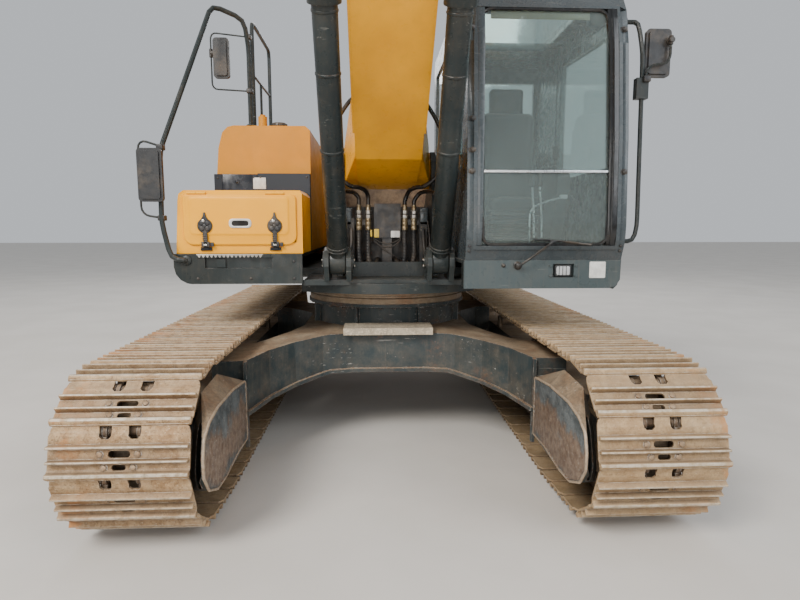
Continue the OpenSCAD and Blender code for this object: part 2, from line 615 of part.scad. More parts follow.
module cab_walls() difference() {
  side(cab_in, cab_out) polygon(cab_side);
  side(cab_in + cab_wall, cab_out - cab_wall) offset(delta = -cab_wall) polygon(cab_side);
  // windshield
  block(cab_in + 60, cab_out - 60, 1000, 1400, 1370, 2690);
  // door opening
  side(cab_out - 80, cab_out + 10) polygon(door_pts(0));
  // rear window and inner side window
  block(cab_in + 80, cab_out - 80, -600, -500, 1900, 2750);
  side(cab_in - 10, cab_in + 80) polygon([[-430, 1850], [1080, 1850], [1040, 2600], [960, 2770], [-430,
    2770]]);
  // roof hatch
  block(cab_in + 150, cab_out - 150, 0, 800, cab_top - 60, cab_top + 10);
}
module cab_knuckles(z0) for (z = [1440, 2440]) {
  translate([cab_out + 12, -door_u, z + z0]) cylinder(r = 11, h = 60);
}
function door_pts(d) = [[40 + d, 1330 + d], [1120 - d, 1330 + d], [1150 - d, 1500], [1120 - d, 2000],
  [1060 - d, 2560], [1010 - d, 2740 - d], [40 + d, 2800 - d]];

module cab_glass() color(c_glass) at_swing() {
  side(cab_in + 60 + gap, cab_out - 60 - gap) intersection() {
    difference() {
      offset(delta = -10) polygon(cab_side);
      offset(delta = -16) polygon(cab_side);
    }
    translate([1000 + gap, 1370 + gap]) square([400, 1320 - 2 * gap]);
  }
  block(cab_in + 80 + gap, cab_out - 80 - gap, -540, -534, 1900 + gap, 2750 - gap);
  side(cab_in + 14, cab_in + 20) offset(delta = -gap)
    polygon([[-430, 1850], [1080, 1850], [1040, 2600], [960, 2770], [-430, 2770]]);
  block(cab_in + 150 + gap, cab_out - 150 - gap, gap, 800 - gap, cab_top - 30, cab_top - 24);
}

module cab_door() color(c_dark) at_swing() {
  difference() {
    side(cab_out - cab_wall + 4, cab_out - 2) polygon(door_pts(8));
    side(cab_out - cab_wall, cab_out + 10)
      polygon([[120, 1850], [1060, 1850], [1000, 2560], [950, 2660], [120, 2720]]);
  }
  cab_knuckles(60.3);
  for (z = [1500.3, 2500.3]) block(cab_out - 20, cab_out + 12, 44, 58, z, z + 60);
  // handle
  block(cab_out - 3, cab_out + 14, 1000, 1014, 1700, 1722);
  block(cab_out - 3, cab_out + 14, 1000, 1014, 1800, 1822);
  block(cab_out + 8, cab_out + 18, 998, 1016, 1700, 1822);
}
module door_glass() color(c_glass) at_swing()
  side(cab_out - 30, cab_out - 24) offset(delta = -0.3)
    polygon([[120, 1850], [1060, 1850], [1000, 2560], [950, 2660], [120, 2720]]);

module operator_seat() color(c_black) at_swing() translate([925, 0, 0]) {
  block(-200, 200, -100, 380, 1332.6, 1600);
  side(-240, 240) polygon([[-120, 1600], [395, 1600], [412, 1660], [395, 1705], [250, 1715], [-60, 1700],
    [-120, 1715]]);
  side(-230, 230) polygon([[-140, 1690], [10, 1700], [-20, 1900], [-60, 2120], [-85, 2290], [-160, 2300],
    [-180, 2200]]);
  side(-130, 130) polygon([[-176, 2330], [-84, 2330], [-90, 2500], [-120, 2520], [-170, 2510]]);
  block(-20, 20, -150, -125, 2280, 2340);
  // consoles, each with its lever
  both() {
    side(260, 385) polygon([[-90, 1332.6], [420, 1332.6], [560, 1600], [600, 1850], [560, 1895], [-90,
      1880]]);
    block(280, 365, -120, 200, 1878, 1940);
    translate([322, -380, 1880]) cylinder(r = 13, h = 90);
    translate([322, -380, 1965]) cylinder(r = 23, h = 110);
  }
  // travel levers and pedals
  block(-110, 110, 740, 860, 1332.6, 1350);
  both() {
    pipe([[52, 800, 1345], [52, 800, 1500], [52, 740, 1700], [52, 740, 1860]], 9, 6, 40);
    block(20, 84, 690, 860, 1372, 1384);
    block(44, 60, 770, 800, 1345, 1376);
  }
}

module exhaust() color(c_steel) at_swing() translate([-1000, 1640, house_top + gap]) {
  cylinder(r = 74, h = 16);
  difference() {
    union() {
      cylinder(r = 55, h = 250);
      translate([0, 0, 249]) cylinder(r = 48, h = 150);
    }
    translate([0, 0, 260]) cylinder(r = 43, h = 200);
    // slanted mouth
    translate([-100, -100, 400]) rotate([-24, 0, 0]) cube([200, 300, 200]);
  }
}

fit_x = [-208, -140, 128, 196];
module valve_cover() color(c_black) at_swing() {
  block(-318, 318, 40, 220, deck_z + gap, 1640);
  // plate in front of the swivel, on two posts
  block(-98, 98, 440, 448, 1405, 1655);
  block(-38, 34, 424, 441, frame_z + 30 + gap, 1600);
  // posts that carry the hose fittings
  for (x = [-300, 236]) {
    block(x, x + 58, 424, 470, frame_z + 30 + gap, 1552);
    block(x + 8, x + 50, 469, 482, 1400, 1450);
  }
  block(-300, -118, 424, 434, 1500, 1540);
  block(118, 294, 424, 434, 1500, 1540);
  // fittings
  for (x = fit_x) translate([x, -446, 0]) {
    translate([0, 0, 1462]) cylinder(r = 19, h = 100);
    translate([0, 0, 1548]) cylinder(r = 25, h = 26, $fn = 6);
    translate([0, 0, 1578]) cylinder(r = 22, h = 26, $fn = 6);
    translate([0, 0, 1562]) cylinder(r = 16, h = 85);
  }
}
// Hoses: four loops from the fittings to the swivel, two lines to the pipes
// on the boom and two to the lift cylinders.
module boom_hoses() color(c_black) at_swing() {
  for (x = fit_x) let (d = x < 0 ? 1 : -1) hose([[x, 446, 1459.8], [x, 446, 1438], [x, 458, 1396], [x, 478, 1300],
    [x + d * 8, 486, 1232], [x + d * 34, 466, 1202], [x + d * 58, 420, 1222], [x + d * 66, 340, 1232],
    [x + d * 68, 240, 1234], [x + d * 68, 222, 1234]], 19, 8, 3);
  for (d = [-1, 1]) {
    hose([[d < 0 ? fit_x[1] : fit_x[2], 446, 1648], [d < 0 ? fit_x[1] : fit_x[2], 446, 1668],
      [d * 140, 448, 1705], [d * 160, 478, 1745], [d * 205, 530, 1765],
      [d * 262, 572, 1772], [d * 338, 602, 1830], [d * 390, 585, 1930], [d * 400, 525, 2060], [d * 370,
        500, 2200],
      [d * 270, 535, 2350], boom3(d * 190, pipe_start - 90 * pipe_dir), boom3(d * 185,
        pipe_start - 30 * pipe_dir),
      boom3(d * 185, pipe_start - 1.5 * pipe_dir)], 15, 8, 3);
    hose([[d < 0 ? fit_x[0] : fit_x[3], 446, 1649.2], [d < 0 ? fit_x[0] : fit_x[3], 446, 1668],
      [d * 212, 448, 1700], [d * 245, 468, 1732], [d * 300, 535, 1736],
      [d * bcyl_x, 660, 1712], [d * bcyl_x, 800, 1670], at_x(d * bcyl_x, lift_spot(307, 170)),
      at_x(d * bcyl_x, lift_spot(307, 125)), at_x(d * bcyl_x, lift_spot(307, 109.5))], 15, 8, 3);
  }
}
function at_x(x, p) = [x, p.x, p.y];
// a spot beside a lift cylinder, along it from its foot pin and out from its middle
function lift_spot(a, h) = lift_foot + turn([a, h], atan2(boom_pt(lift_pin).y - bcyl_z,
  boom_pt(lift_pin).x - bcyl_u));
function boom3(x, p) = let (q = boom_pt(p)) [x, q.x, q.y];
function arm3(x, p) = let (q = arm_pt(p)) [x, q.x, q.y];
pipe_start = [500, 441];
pipe_dir = dir(32.2);
boom_pipe_path = [pipe_start, [1900, 1322], [2150, 1421], [2400, 1471], [2700, 1461], [2950, 1396],
  [4900, 499]];
pipe_end = [4900, 499];
end_dir = dir(-24.73);
arm_pipe_path = [[240, 330], [330, 312], [500, 312], [620, 318], [760, 300]];
arm_in = dir(-11.3);
// Hoses from the boom's pipes to those on the arm.
module arm_hoses() color(c_black) at_swing() for (d = [-1, 1])
  hose([boom3(d * 185, pipe_end + 1.5 * end_dir), boom3(d * 185, pipe_end + 40 * end_dir), boom3(d * 187,
    [5080, 432]),
    boom3(d * 190, [5330, 420]), boom3(d * 190, [5620, 470]), boom3(d * 185, [5900, 440]), arm3(d * 172,
      [80, 370]),
    arm3(d * 168, [240, 330] - 40 * arm_in), arm3(d * 168, [240, 330] - 1.5 * arm_in)], 14, 8, 3);

// doors and hood of the engine house
module engine_hood() color(c_orange) at_swing() {
  difference() {
    union() {
      front(-2045, -1250) polygon([[-750, house_top - 40], [530, house_top - 40], [530, house_top + 40],
        [490, house_top + 84], [-710, house_top + 84], [-750, house_top + 40]]);
      front(-1990, -1310) polygon([[-560, house_top + 83], [340, house_top + 83], [310, house_top + 100],
        [-530, house_top + 100]]);
    }
    block(-738, 518, -2033, -1262, house_top - 50, house_top + 40);
    for (k = [0 : 8]) block(-520 + k * 92, -480 + k * 92, -1960, -1720, house_top + 30, house_top + 110);
  }
  for (x = [-539.7, 410.3]) {
    knuckle_x(x, x + 60, hood_hinge);
    block(x, x + 60, -1251, -1238, house_top + 2, house_top + 12);
  }
}
module pump_door() color(c_orange) at_swing() {
  difference() {
    block(-1388, -1358, -2008, -1236, deck_top + 2, house_top - 10);
    block(-1360, -1340, -1980, -1264, deck_top + 30, house_top - 38);
    for (k = [0 : 7]) block(-1400, -1340, -1900, -1500, 1850 + k * 26, 1862 + k * 26);
  }
  door_latch(-1, -1950);
  for (z = [1460.3, 1960.3]) {
    translate([-1396, 1226, z]) cylinder(r = 10, h = 60);
    block(-1399, -1386, -1250, -1227, z, z + 60);
  }
}
module door_latch(d, u) block(min(d * 1386, d * 1394), max(d * 1386, d * 1394), u, u + 36, 1690, 1790);
module cooler_door() color(c_orange) at_swing() {
  difference() {
    block(1358, 1388, -2008, -646, cab_floor + 2, house_top - 10);
    block(1340, 1360, -1980, -674, cab_floor + 30, house_top - 38);
    for (k = [0 : 13], u = [-1930, -1290]) block(1340, 1400, u, u + 560, 1480 + k * 44, 1500 + k * 44);
  }
  door_latch(1, -700);
  for (z = [1460.3, 1960.3]) {
    translate([1396, 2020, z]) cylinder(r = 10, h = 60);
    block(1386, 1399, -2019, -1996, z, z + 60);
  }
}

// working arm, drawn in the plane of forward and up
foot = [foot_u, foot_z];
arm_pin = foot + boom_len * dir(boom_deg);
bucket_pin = arm_pin + arm_len * dir(arm_deg);
module boom_side(x0, x1) side(x0, x1) translate(foot) rotate(boom_deg) children();
module arm_side(x0, x1) side(x0, x1) translate(arm_pin) rotate(arm_deg) children();
// pins named in the boom's own frame
boom_k = boom_len / 5680;
arm_k = arm_len / 2920;
lift_pin = 2450 * boom_k * dir(24);
arm_foot = boom_k * [3150, 1470];
// pins named in the arm's own frame
crowd_pin = 880 * dir(160);
curl_foot = arm_k * [560, 520];
rocker_pin = [arm_len - 390, 20];
rocker_len = 620;
push_len = 600;
// bucket link pin, turned from the arm's line
link_r = 450;
link_deg = 18.1;
link_pin = [arm_len, 0] + link_r * dir(link_deg);
link_d = norm(link_pin - rocker_pin);
rocker_deg = atan2(link_pin.y - rocker_pin.y, link_pin.x - rocker_pin.x)
  + acos((rocker_len * rocker_len + link_d * link_d - push_len * push_len) / (2 * rocker_len * link_d));
rod_pin = rocker_pin + rocker_len * dir(rocker_deg);
function boom_pt(p) = foot + turn(p, boom_deg);
function arm_pt(p) = arm_pin + turn(p, arm_deg);

boom_outline = [[-110, -95], [0, -140], [574, -133], [2050, 593], [2260, 668], [2520, 745], [3000, 775],
  [5450, -60], [5560, -135], [5700, -160], [5810, -95], [5840, 20], [5790, 130], [5680, 165], [5500, 200],
  [2950, 1375], [2700, 1440], [2400, 1450], [2150, 1400], [1900, 1300], [200, 230], [0, 140], [-110, 95]];

module boom() color(c_orange) at_swing() {
  difference() {
    union() {
      boom_side(-boom_half, boom_half) polygon(boom_k * boom_outline);
      // flanges along the top and bottom edges
      boom_side(-boom_half - 12, boom_half + 12) polygon(boom_k * [[600, 481], [1900, 1299], [2150,
        1399], [2400, 1449],
        [2700, 1439], [2950, 1374], [5050, 413], [5040, 398], [2944, 1358], [2698, 1422], [2402, 1432],
        [2156, 1383], [1908, 1284], [608, 468]]);
      boom_side(-boom_half - 12, boom_half + 12) polygon(boom_k * [[760, -41], [2050, 594], [2260, 669],
        [2520, 746],
        [3000, 776], [5000, 95], [5005, 110], [3003, 793], [2516, 762], [2254, 685], [2043, 609], [753,
          -26]]);
    }
    // slot for the arm at the tip
    boom_side(-arm_half - 25, arm_half + 25) {
      translate([boom_len, 0]) circle(r = 545);
      translate([boom_len, -545]) square([600, 1090]);
    }
    boom_side(-boom_half - 1, boom_half + 1) circle(r = 60);
  }
  // foot that widens to the pin
  difference() {
    hull() {
      boom_side(-315, 315) polygon([[-109, -94], [0, -138], [70, -137], [70, 162], [0, 138], [-109, 93]]);
      boom_side(-boom_half + 4, boom_half - 4) polygon([[600, -110], [640, -90], [640, 470], [600, 440]]);
    }
    boom_side(-316, 316) circle(r = 60);
  }
  // collars of the foot pin
  for (x = [-321, 315]) difference() {
    boom_side(x, x + 6) circle(r = 92);
    boom_side(x - 1, x + 7) circle(r = 61);
  }
  // boss that carries the lift cylinders, with its round plates
  boom_side(-bcyl_x + 55, bcyl_x - 55) translate(lift_pin) circle(r = 105);
  for (x = [-boom_half - 14, boom_half]) boom_side(x, x + 14) translate(lift_pin) circle(r = 190);
  // ears and pin of the arm cylinder
  for (x = [-122, 82]) boom_side(x, x + 40)
    polygon(boom_k * [[2880, 1380], [3020, 1470], [3075, 1530], [3110, 1551], [3150, 1558], [3190, 1551],
      [3225, 1528],
      [3240, 1490], [3250, 1450], [3400, 1160]]);
  for (x = [-134, 122]) boom_side(x, x + 12) translate(arm_foot) circle(r = 62);
  boom_side(-128, 128) translate(arm_foot) circle(r = 40);
  // arm pin with its bosses
  boom_side(-boom_half - 24, boom_half + 24) translate([boom_len, 0]) circle(r = 45);
  for (x = [-boom_half - 16, boom_half]) boom_side(x, x + 16) translate([boom_len, 0]) circle(r = 110);
  // work lamps on both sides, each in its bracket
  for (d = [-1, 1]) {
    boom_side(min(d * 212, d * 300), max(d * 212, d * 300)) translate([2560, 1250]) square([70, 12]);
    boom_side(d * 262 - 50, d * 262 + 50) translate([2562, 1260]) polygon([[0, 0], [70, 0], [80, 20],
      [80, 86], [60, 96], [4, 80]]);
  }
  // pipes along the back, held by clamps
  for (x = [-185, 185]) {
    pipe([for (q = boom_pipe_path) boom3(x, q)], 15, 8, 90);
    pipe([for (q = boom_pipe_path) boom3(x * 0.78, q - [0, 3])], 11, 6, 90);
  }
  for (q = [[700, 542, 30], [1500, 1052, 30], [2280, 1422, 12], [3300, 1213, -25], [4000, 887, -25],
    [4700, 568, -25]])
    for (d = [-1, 1]) side(min(d * 130, d * 208), max(d * 130, d * 208)) translate(boom_pt(boom_k * [q.x,
      q.y]))
      rotate(boom_deg + q.z) square([60, 74], center = true);
}

// A cylinder's barrel from its foot pin toward its rod, along +X, with the eye
// at the origin and the oil pipe on one side.
module barrel(len, r, eye_r, eye_w, pin_r, rod_r, start, up) {
  difference() {
    union() {
      rotate([90, 0, 0]) translate([0, 0, -eye_w / 2]) cylinder(r = eye_r, h = eye_w);
      translate([0, -eye_w / 2, -r * 0.75]) cube([eye_r + 24, eye_w, r * 1.5]);
      translate([eye_r + 22, 0, 0]) rotate([0, 90, 0]) cylinder(r = r, h = len - eye_r - 22);
      for (x = [eye_r + 75, len * 0.45, len - 250]) translate([x, 0, 0]) rotate([0, 90,
        0]) cylinder(r = r + 6, h = 34);
      translate([len - 170, 0, 0]) rotate([0, 90, 0]) cylinder(r = r + 22, h = 120);
      translate([len - 52, 0, 0]) rotate([0, 90, 0]) cylinder(r = r + 14, h = 52);
      for (a = [30 : 60 : 330]) translate([len - 60, (r + 10) * cos(a), (r + 10) * sin(a)]) rotate([0,
        90, 0])
        cylinder(r = 11, h = 70, $fn = 6);
    }
    rotate([90, 0, 0]) translate([0, 0, -eye_w]) cylinder(r = pin_r, h = 2 * eye_w);
    translate([start, 0, 0]) rotate([0, 90, 0]) cylinder(r = r - 14, h = len - start - 80);
    translate([start, 0, 0]) rotate([0, 90, 0]) cylinder(r = rod_r + 0.5, h = len);
  }
  // oil pipe with its clamps and ports
  translate([eye_r + 200, -22, min(up * (r - 12), up * (r + 34))]) cube([50, 44, 46]);
  translate([len - 140, -22, min(up * (r - 4), up * (r + 40))]) cube([50, 44, 44]);
  translate([eye_r + 248, 0, up * (r + 18)]) rotate([0, 90, 0]) cylinder(r = 10, h = len - eye_r - 386);
  for (x = [0.45, 0.7]) translate([x * len, -16, min(up * (r - 12), up * (r + 32))]) cube([40, 32, 44]);
}
// A rod ends in an eye that holds its own pin, so the opened linkage may drift there.
module rod(len, r, eye_r, eye_w) {
  rotate([90, 0, 0]) translate([0, 0, -eye_w / 2]) cylinder(r = eye_r, h = eye_w);
  translate([-len, 0, 0]) rotate([0, 90, 0]) cylinder(r = r, h = len - eye_r * 0.7);
}
// Puts a piece drawn along +X on the line from p to q, at sideways place x.
module on_line(x, p, q, at_q = false) {
  o = at_q ? q : p;
  d = q - p;
  translate([x, -o.x, o.y]) rotate([-atan2(d.y, d.x), 0, 0]) rotate([0, 0, -90]) children();
}
// pin to pin lengths of the cylinders as parked
lift_foot = [bcyl_u, bcyl_z];
lift_reach = norm(boom_pt(lift_pin) - lift_foot);
crowd_reach = norm(arm_pt(crowd_pin) - boom_pt(arm_foot));
curl_reach = norm(arm_pt(rod_pin) - arm_pt(curl_foot));
module boom_barrels() color(c_dark) at_swing() both()
  on_line(bcyl_x, lift_foot, boom_pt(lift_pin)) barrel(lift_reach - 843, 74, 82, 108, 45.5, 42.5, 130, 1);
module boom_rods() color(c_chrome) at_swing() both()
  on_line(bcyl_x, lift_foot, boom_pt(lift_pin), true) rod(lift_reach - 983, 42.5, 85, 100);
module arm_barrel() color(c_orange) at_swing()
  on_line(0, boom_pt(arm_foot), arm_pt(crowd_pin)) barrel(crowd_reach - 608, 80, 78, 158, 40.5, 50, 140, 1);
module arm_rod() color(c_chrome) at_swing()
  on_line(0, boom_pt(arm_foot), arm_pt(crowd_pin), true) rod(crowd_reach - 696, 50, 90, 120);
module bucket_barrel() color(c_orange) at_swing()
  on_line(0, arm_pt(curl_foot), arm_pt(rod_pin)) barrel(curl_reach - 998, 70, 75, 138, 40.5, 42.5, 130, 1);
module bucket_rod() color(c_chrome) at_swing()
  on_line(0, arm_pt(curl_foot), arm_pt(rod_pin), true) rod(curl_reach - 1007, 42.5, 80, 100);

module arm() color(c_orange) at_swing() {
  difference() {
    arm_side(-arm_half, arm_half) polygon(arm_k * [[-960, 290], [-930, 215], [-820, 165], [-500, 40],
      [-200, -190],
      [-60, -260], [200, -265], [700, -215], [2800, -100], [2920, -95], [3000, -50], [3012, 20], [2960, 85],
      [2500, 130], [700, 300], [100, 420], [-700, 430], [-880, 420], [-950, 370]]);
    // slot for the arm cylinder's rod
    arm_side(-66, 66) polygon([[-980, 0], [-420, -100], [-420, 460], [-980, 460]]);
    arm_side(-200, 200) circle(r = 45.5);
    arm_side(-200, 200) translate([arm_len, 0]) circle(r = 40.5);
    arm_side(-200, 200) translate(rocker_pin) circle(r = 35);
  }
  // ears and pin of the bucket cylinder
  for (x = [-110, 72]) arm_side(x, x + 38) polygon(arm_k * [[250, 380], [450, 530], [500, 585], [535,
    600], [562, 603],
    [590, 599], [625, 575], [642, 545], [760, 280]]);
  for (x = [-120, 110]) arm_side(x, x + 10) translate(curl_foot) circle(r = 58);
  arm_side(-114, 114) translate(curl_foot) circle(r = 40);
  arm_side(-175, 175) translate(rocker_pin) circle(r = 35);
  // pipes from the hoses to the bucket cylinder
  for (d = [-1, 1]) {
    pipe([for (k = [0 : 4]) arm3(d * [168, 168, 150, 125, 125][k], arm_pipe_path[k])], 13, 8, 40);
    side(min(d * 128, d * 190), max(d * 128, d * 190)) translate(arm_pt([300,
      315])) rotate(arm_deg) square([50, 50], center = true);
  }
}

module rocker_links() color(c_orange) at_swing() {
  for (x = [-arm_half - 33, arm_half + 8]) difference() {
    arm_side(x, x + 25) {
      translate(rocker_pin) circle(r = 75);
      translate(rod_pin) circle(r = 70);
      translate(rocker_pin) rotate(rocker_deg)
        polygon([[40, -60], [160, -36], [rocker_len - 160, -36], [rocker_len - 40, -56],
          [rocker_len - 40, 56],
          [rocker_len - 160, 36], [160, 36], [40, 60]]);
    }
    arm_side(x - 1, x + 26) translate(rocker_pin) circle(r = 35.5);
  }
  both() arm_side(56, arm_half + 33) translate(rod_pin) circle(r = 40);
}

module push_link() color(c_orange) at_swing() difference() {
  arm_side(-arm_half, arm_half) hull() {
    translate(link_pin) circle(r = 80, $fn = 32);
    translate(rod_pin) circle(r = 78, $fn = 32);
  }
  arm_side(-56, 56) translate(rod_pin) circle(r = 400);
  arm_side(-200, 200) translate(rod_pin) circle(r = 40.5);
}

// bucket, drawn from its pin: first axis toward the tooth tips, second into the bucket
tip_deg = arm_deg + link_deg - 97;
module bucket_side(x0, x1) side(x0, x1) translate(bucket_pin) rotate(tip_deg) children();
bucket_back = [[262, -36], [225, 20], [205, 470], [235, 620], [320, 760], [450, 850], [600, 870], [740,
  820],
  [850, 720]];
lip = [1340, 98];
module bucket() color(c_dark) at_swing() {
  difference() {
    bucket_side(-bucket_w / 2, bucket_w / 2) polygon(concat(bucket_back, [lip, [1330, 60], [1200, 40]]));
    bucket_side(-bucket_w / 2 + bucket_t, bucket_w / 2 - bucket_t) difference() {
      offset(delta = -bucket_t) polygon(concat(bucket_back, [[1370, 60], [1400, -400], [270, -400]]));
    }
  }
  // ears
  both() difference() {
    bucket_side(178, 212) polygon([[230, -40], [60, -120], [-40, -115], [-115, -40], [-160, 440], [-120,
      530],
      [-20, 555], [60, 640], [250, 700], [215, 480], [235, 20]]);
    bucket_side(170, 220) circle(r = 40);
    bucket_side(170, 220) rotate(97) translate([link_r, 0]) circle(r = 40);
  }
  bucket_side(-225, 225) circle(r = 40);
  both() bucket_side(146, 225) rotate(97) translate([link_r, 0]) circle(r = 40);
  // side cutters
  both() bucket_side(bucket_w / 2 - 1, bucket_w / 2 + 14) polygon([[880, 60], [1290, 66], [1345, 92],
    [1330, 150],
    [1160, 200], [1130, 160], [1000, 170], [970, 120], [880, 130]]);
  // wear plates under the edge and a strap over the back
  for (x = [-bucket_w / 2 + 40, bucket_w / 2 - 140]) bucket_side(x, x + 100)
    polygon([[238, 619], [323, 759], [452, 849], [600, 869], [600, 881], [448, 861], [313, 770], [226,
      625]]);
  // teeth, each a tapering point on its adapter
  for (k = [0 : tooth_count - 1]) let (x = -bucket_w / 2 + 55 + k * (bucket_w - 110) / (tooth_count - 1)) {
    bucket_side(x - 40, x + 40) polygon([[1200, 165], [1330, 90], [1370, 66], [1378, 40], [1340, 36],
      [1250, 62], [1180, 120]]);
    hull() {
      bucket_side(x - 36, x + 36) polygon([[1362, 74], [1362, 30], [1350, 34], [1350, 84]]);
      bucket_side(x - 22, x + 22) polygon([[bucket_r - 4, 7], [bucket_r, 5], [bucket_r, -5], [bucket_r - 10, -7]]);
    }
  }
}

carbody();
slew_ring();
front_step();
track_frames();
track_left();
track_right();
idlers();
sprockets();
lower_rollers();
carrier_rollers();
travel_motors();
revolving_frame();
side_skirts();
counterweight();
engine_block();
fuel_tank();
hydraulic_tank();
house_panels();
toolbox();
handrails();
mirrors();
cab_shell();
cab_glass();
operator_seat();
exhaust();
valve_cover();
boom_hoses();
arm_hoses();
cab_door();
door_glass();
toolbox_lid();
engine_hood();
pump_door();
cooler_door();
boom();
boom_barrels();
boom_rods();
arm();
arm_barrel();
arm_rod();
bucket_barrel();
bucket_rod();
rocker_links();
push_link();
bucket();
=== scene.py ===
import math
import random
import bpy
import bmesh
from mathutils import Matrix, Vector


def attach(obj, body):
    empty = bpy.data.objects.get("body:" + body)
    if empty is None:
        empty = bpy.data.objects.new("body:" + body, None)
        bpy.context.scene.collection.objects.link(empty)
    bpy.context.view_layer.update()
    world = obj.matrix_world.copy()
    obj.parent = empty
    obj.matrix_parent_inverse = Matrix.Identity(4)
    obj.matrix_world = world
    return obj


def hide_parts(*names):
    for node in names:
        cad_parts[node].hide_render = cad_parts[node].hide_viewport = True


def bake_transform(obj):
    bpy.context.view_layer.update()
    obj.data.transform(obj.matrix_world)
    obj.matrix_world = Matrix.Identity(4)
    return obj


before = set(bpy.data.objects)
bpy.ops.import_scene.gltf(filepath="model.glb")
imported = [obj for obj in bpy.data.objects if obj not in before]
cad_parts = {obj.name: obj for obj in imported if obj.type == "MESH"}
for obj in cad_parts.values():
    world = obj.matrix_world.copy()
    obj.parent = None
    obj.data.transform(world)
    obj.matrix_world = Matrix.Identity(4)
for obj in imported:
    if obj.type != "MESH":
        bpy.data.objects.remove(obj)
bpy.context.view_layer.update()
# where the swing centre lies along the row frame, in metres
SWING_Y = 2.7
random.seed(7)

DUST = (0.42, 0.31, 0.20)
CLAY = (0.30, 0.20, 0.12)
RUST = (0.17, 0.065, 0.025)
BARE = (0.40, 0.38, 0.35)
SHINE = (0.55, 0.53, 0.50)
# near-black painted shadow under the toolbox lid's lower edge
LID_GAP_SHADOW = (0.016, 0.017, 0.019)
FRONT_BOX = (0.014, 0.018, 0.026)


# Material kit
def shade(colour, factor, more=0.0):
    return tuple(min(1, c * factor + more) for c in colour)


class Mat:
    """A node material built in few words."""

    def __init__(self, name, rough=0.5, metal=0.0):
        self.material = bpy.data.materials.new(name)
        self.material.use_nodes = True
        self.tree = self.material.node_tree
        self.shader = self.tree.nodes["Principled BSDF"]
        self.shader.inputs["Roughness"].default_value = rough
        self.shader.inputs["Metallic"].default_value = metal
        self.spot = self.node("ShaderNodeTexCoord").outputs["Object"]

    def node(self, kind, inputs=None, **props):
        n = self.tree.nodes.new(kind)
        for k, v in props.items():
            setattr(n, k, v)
        for k, v in (inputs or {}).items():
            self.put(v, n.inputs[k])
        return n

    def put(self, value, socket):
        if isinstance(value, bpy.types.NodeSocket):
            self.tree.links.new(value, socket)
        else:
            if isinstance(value, tuple) and len(value) == 3 and socket.type == "RGBA":
                value = (*value, 1.0)
            socket.default_value = value

    def noise(self, scale, detail=4.0, rough=0.55, stretch=None, turn=None):
        spot = self.spot
        if stretch:
            inputs = {"Scale": stretch, "Rotation": turn or (0, 0, 0), "Vector": spot}
            spot = self.node("ShaderNodeMapping", inputs).outputs["Vector"]
        inputs = {"Scale": scale, "Detail": detail, "Roughness": rough, "Vector": spot}
        return self.node("ShaderNodeTexNoise", inputs).outputs["Fac"]

    def ramp(self, value, lo, hi, a=0.0, b=1.0):
        """From a at lo to b at hi, with a soft start and end."""
        inputs = {"Value": value, "From Min": lo, "From Max": hi, "To Min": a, "To Max": b}
        return self.node("ShaderNodeMapRange", inputs, interpolation_type="SMOOTHSTEP").outputs["Result"]

    def blot(self, scale, detail, lo, hi, a=0.0, b=1.0, rough=0.55, stretch=None, turn=None):
        """Noise sent through a ramp."""
        return self.ramp(self.noise(scale, detail, rough, stretch, turn), lo, hi, a, b)

    def math(self, op, a, b=0.0):
        return self.node("ShaderNodeMath", {0: a, 1: b}, operation=op, use_clamp=op == "ADD").outputs[0]

    def mul(self, *values):
        out = values[0]
        for v in values[1:]:
            out = self.math("MULTIPLY", out, v)
        return out

    def add(self, *values):
        """A sum that stays between 0 and 1."""
        out = values[0]
        for v in values[1:]:
            out = self.math("ADD", out, v)
        return out

    def mix(self, fac, a, b):
        return self.node("ShaderNodeMix", {0: fac, 6: a, 7: b}, data_type="RGBA").outputs[2]

    def normal(self):
        return self.node("ShaderNodeNewGeometry").outputs["Normal"]

    def axis(self, index):
        """World normal's component: 2 is how much a face looks up."""
        return self.node("ShaderNodeSeparateXYZ", {0: self.normal()}).outputs[index]

    def place(self, index=2):
        """Where a point lies in the frame, in metres: 0 sideways, 1 along, 2 up."""
        return self.node("ShaderNodeSeparateXYZ", {0: self.spot}).outputs[index]

    def inside(self, index, lo, hi, soft=0.002):
        """1 where a coordinate lies between two values."""
        c = self.place(index)
        return self.mul(self.ramp(c, lo - soft, lo), self.ramp(c, hi, hi + soft, 1.0, 0.0))

    def rounding(self, radius):
        return self.node("ShaderNodeBevel", {"Radius": radius}, samples=4).outputs[0]

    def edges(self, radius, lo=0.015, hi=0.16):
        """1 near a convex or concave edge, 0 on a flat face."""
        inputs = {0: self.rounding(radius), 1: self.normal()}
        same = self.node("ShaderNodeVectorMath", inputs, operation="DOT_PRODUCT").outputs["Value"]
        return self.ramp(self.math("SUBTRACT", 1.0, same), lo, hi)

    def shade_in_nooks(self, reach):
        """1 in corners and between parts, 0 in the open."""
        n = self.node("ShaderNodeAmbientOcclusion", {"Distance": reach}, samples=4)
        return self.ramp(n.outputs["AO"], 0.35, 0.95, 1.0, 0.0)

    def bump(self, value, strength, distance=0.002, soft=0.0):
        n = self.node("ShaderNodeBump", {"Strength": strength, "Distance": distance, "Height": value})
        if soft:
            self.put(self.rounding(soft), n.inputs["Normal"])
        self.put(n.outputs["Normal"], self.shader.inputs["Normal"])

    def out(self, colour, rough):
        self.put(colour, self.shader.inputs["Base Color"])
        self.put(rough, self.shader.inputs["Roughness"])
        return self.material
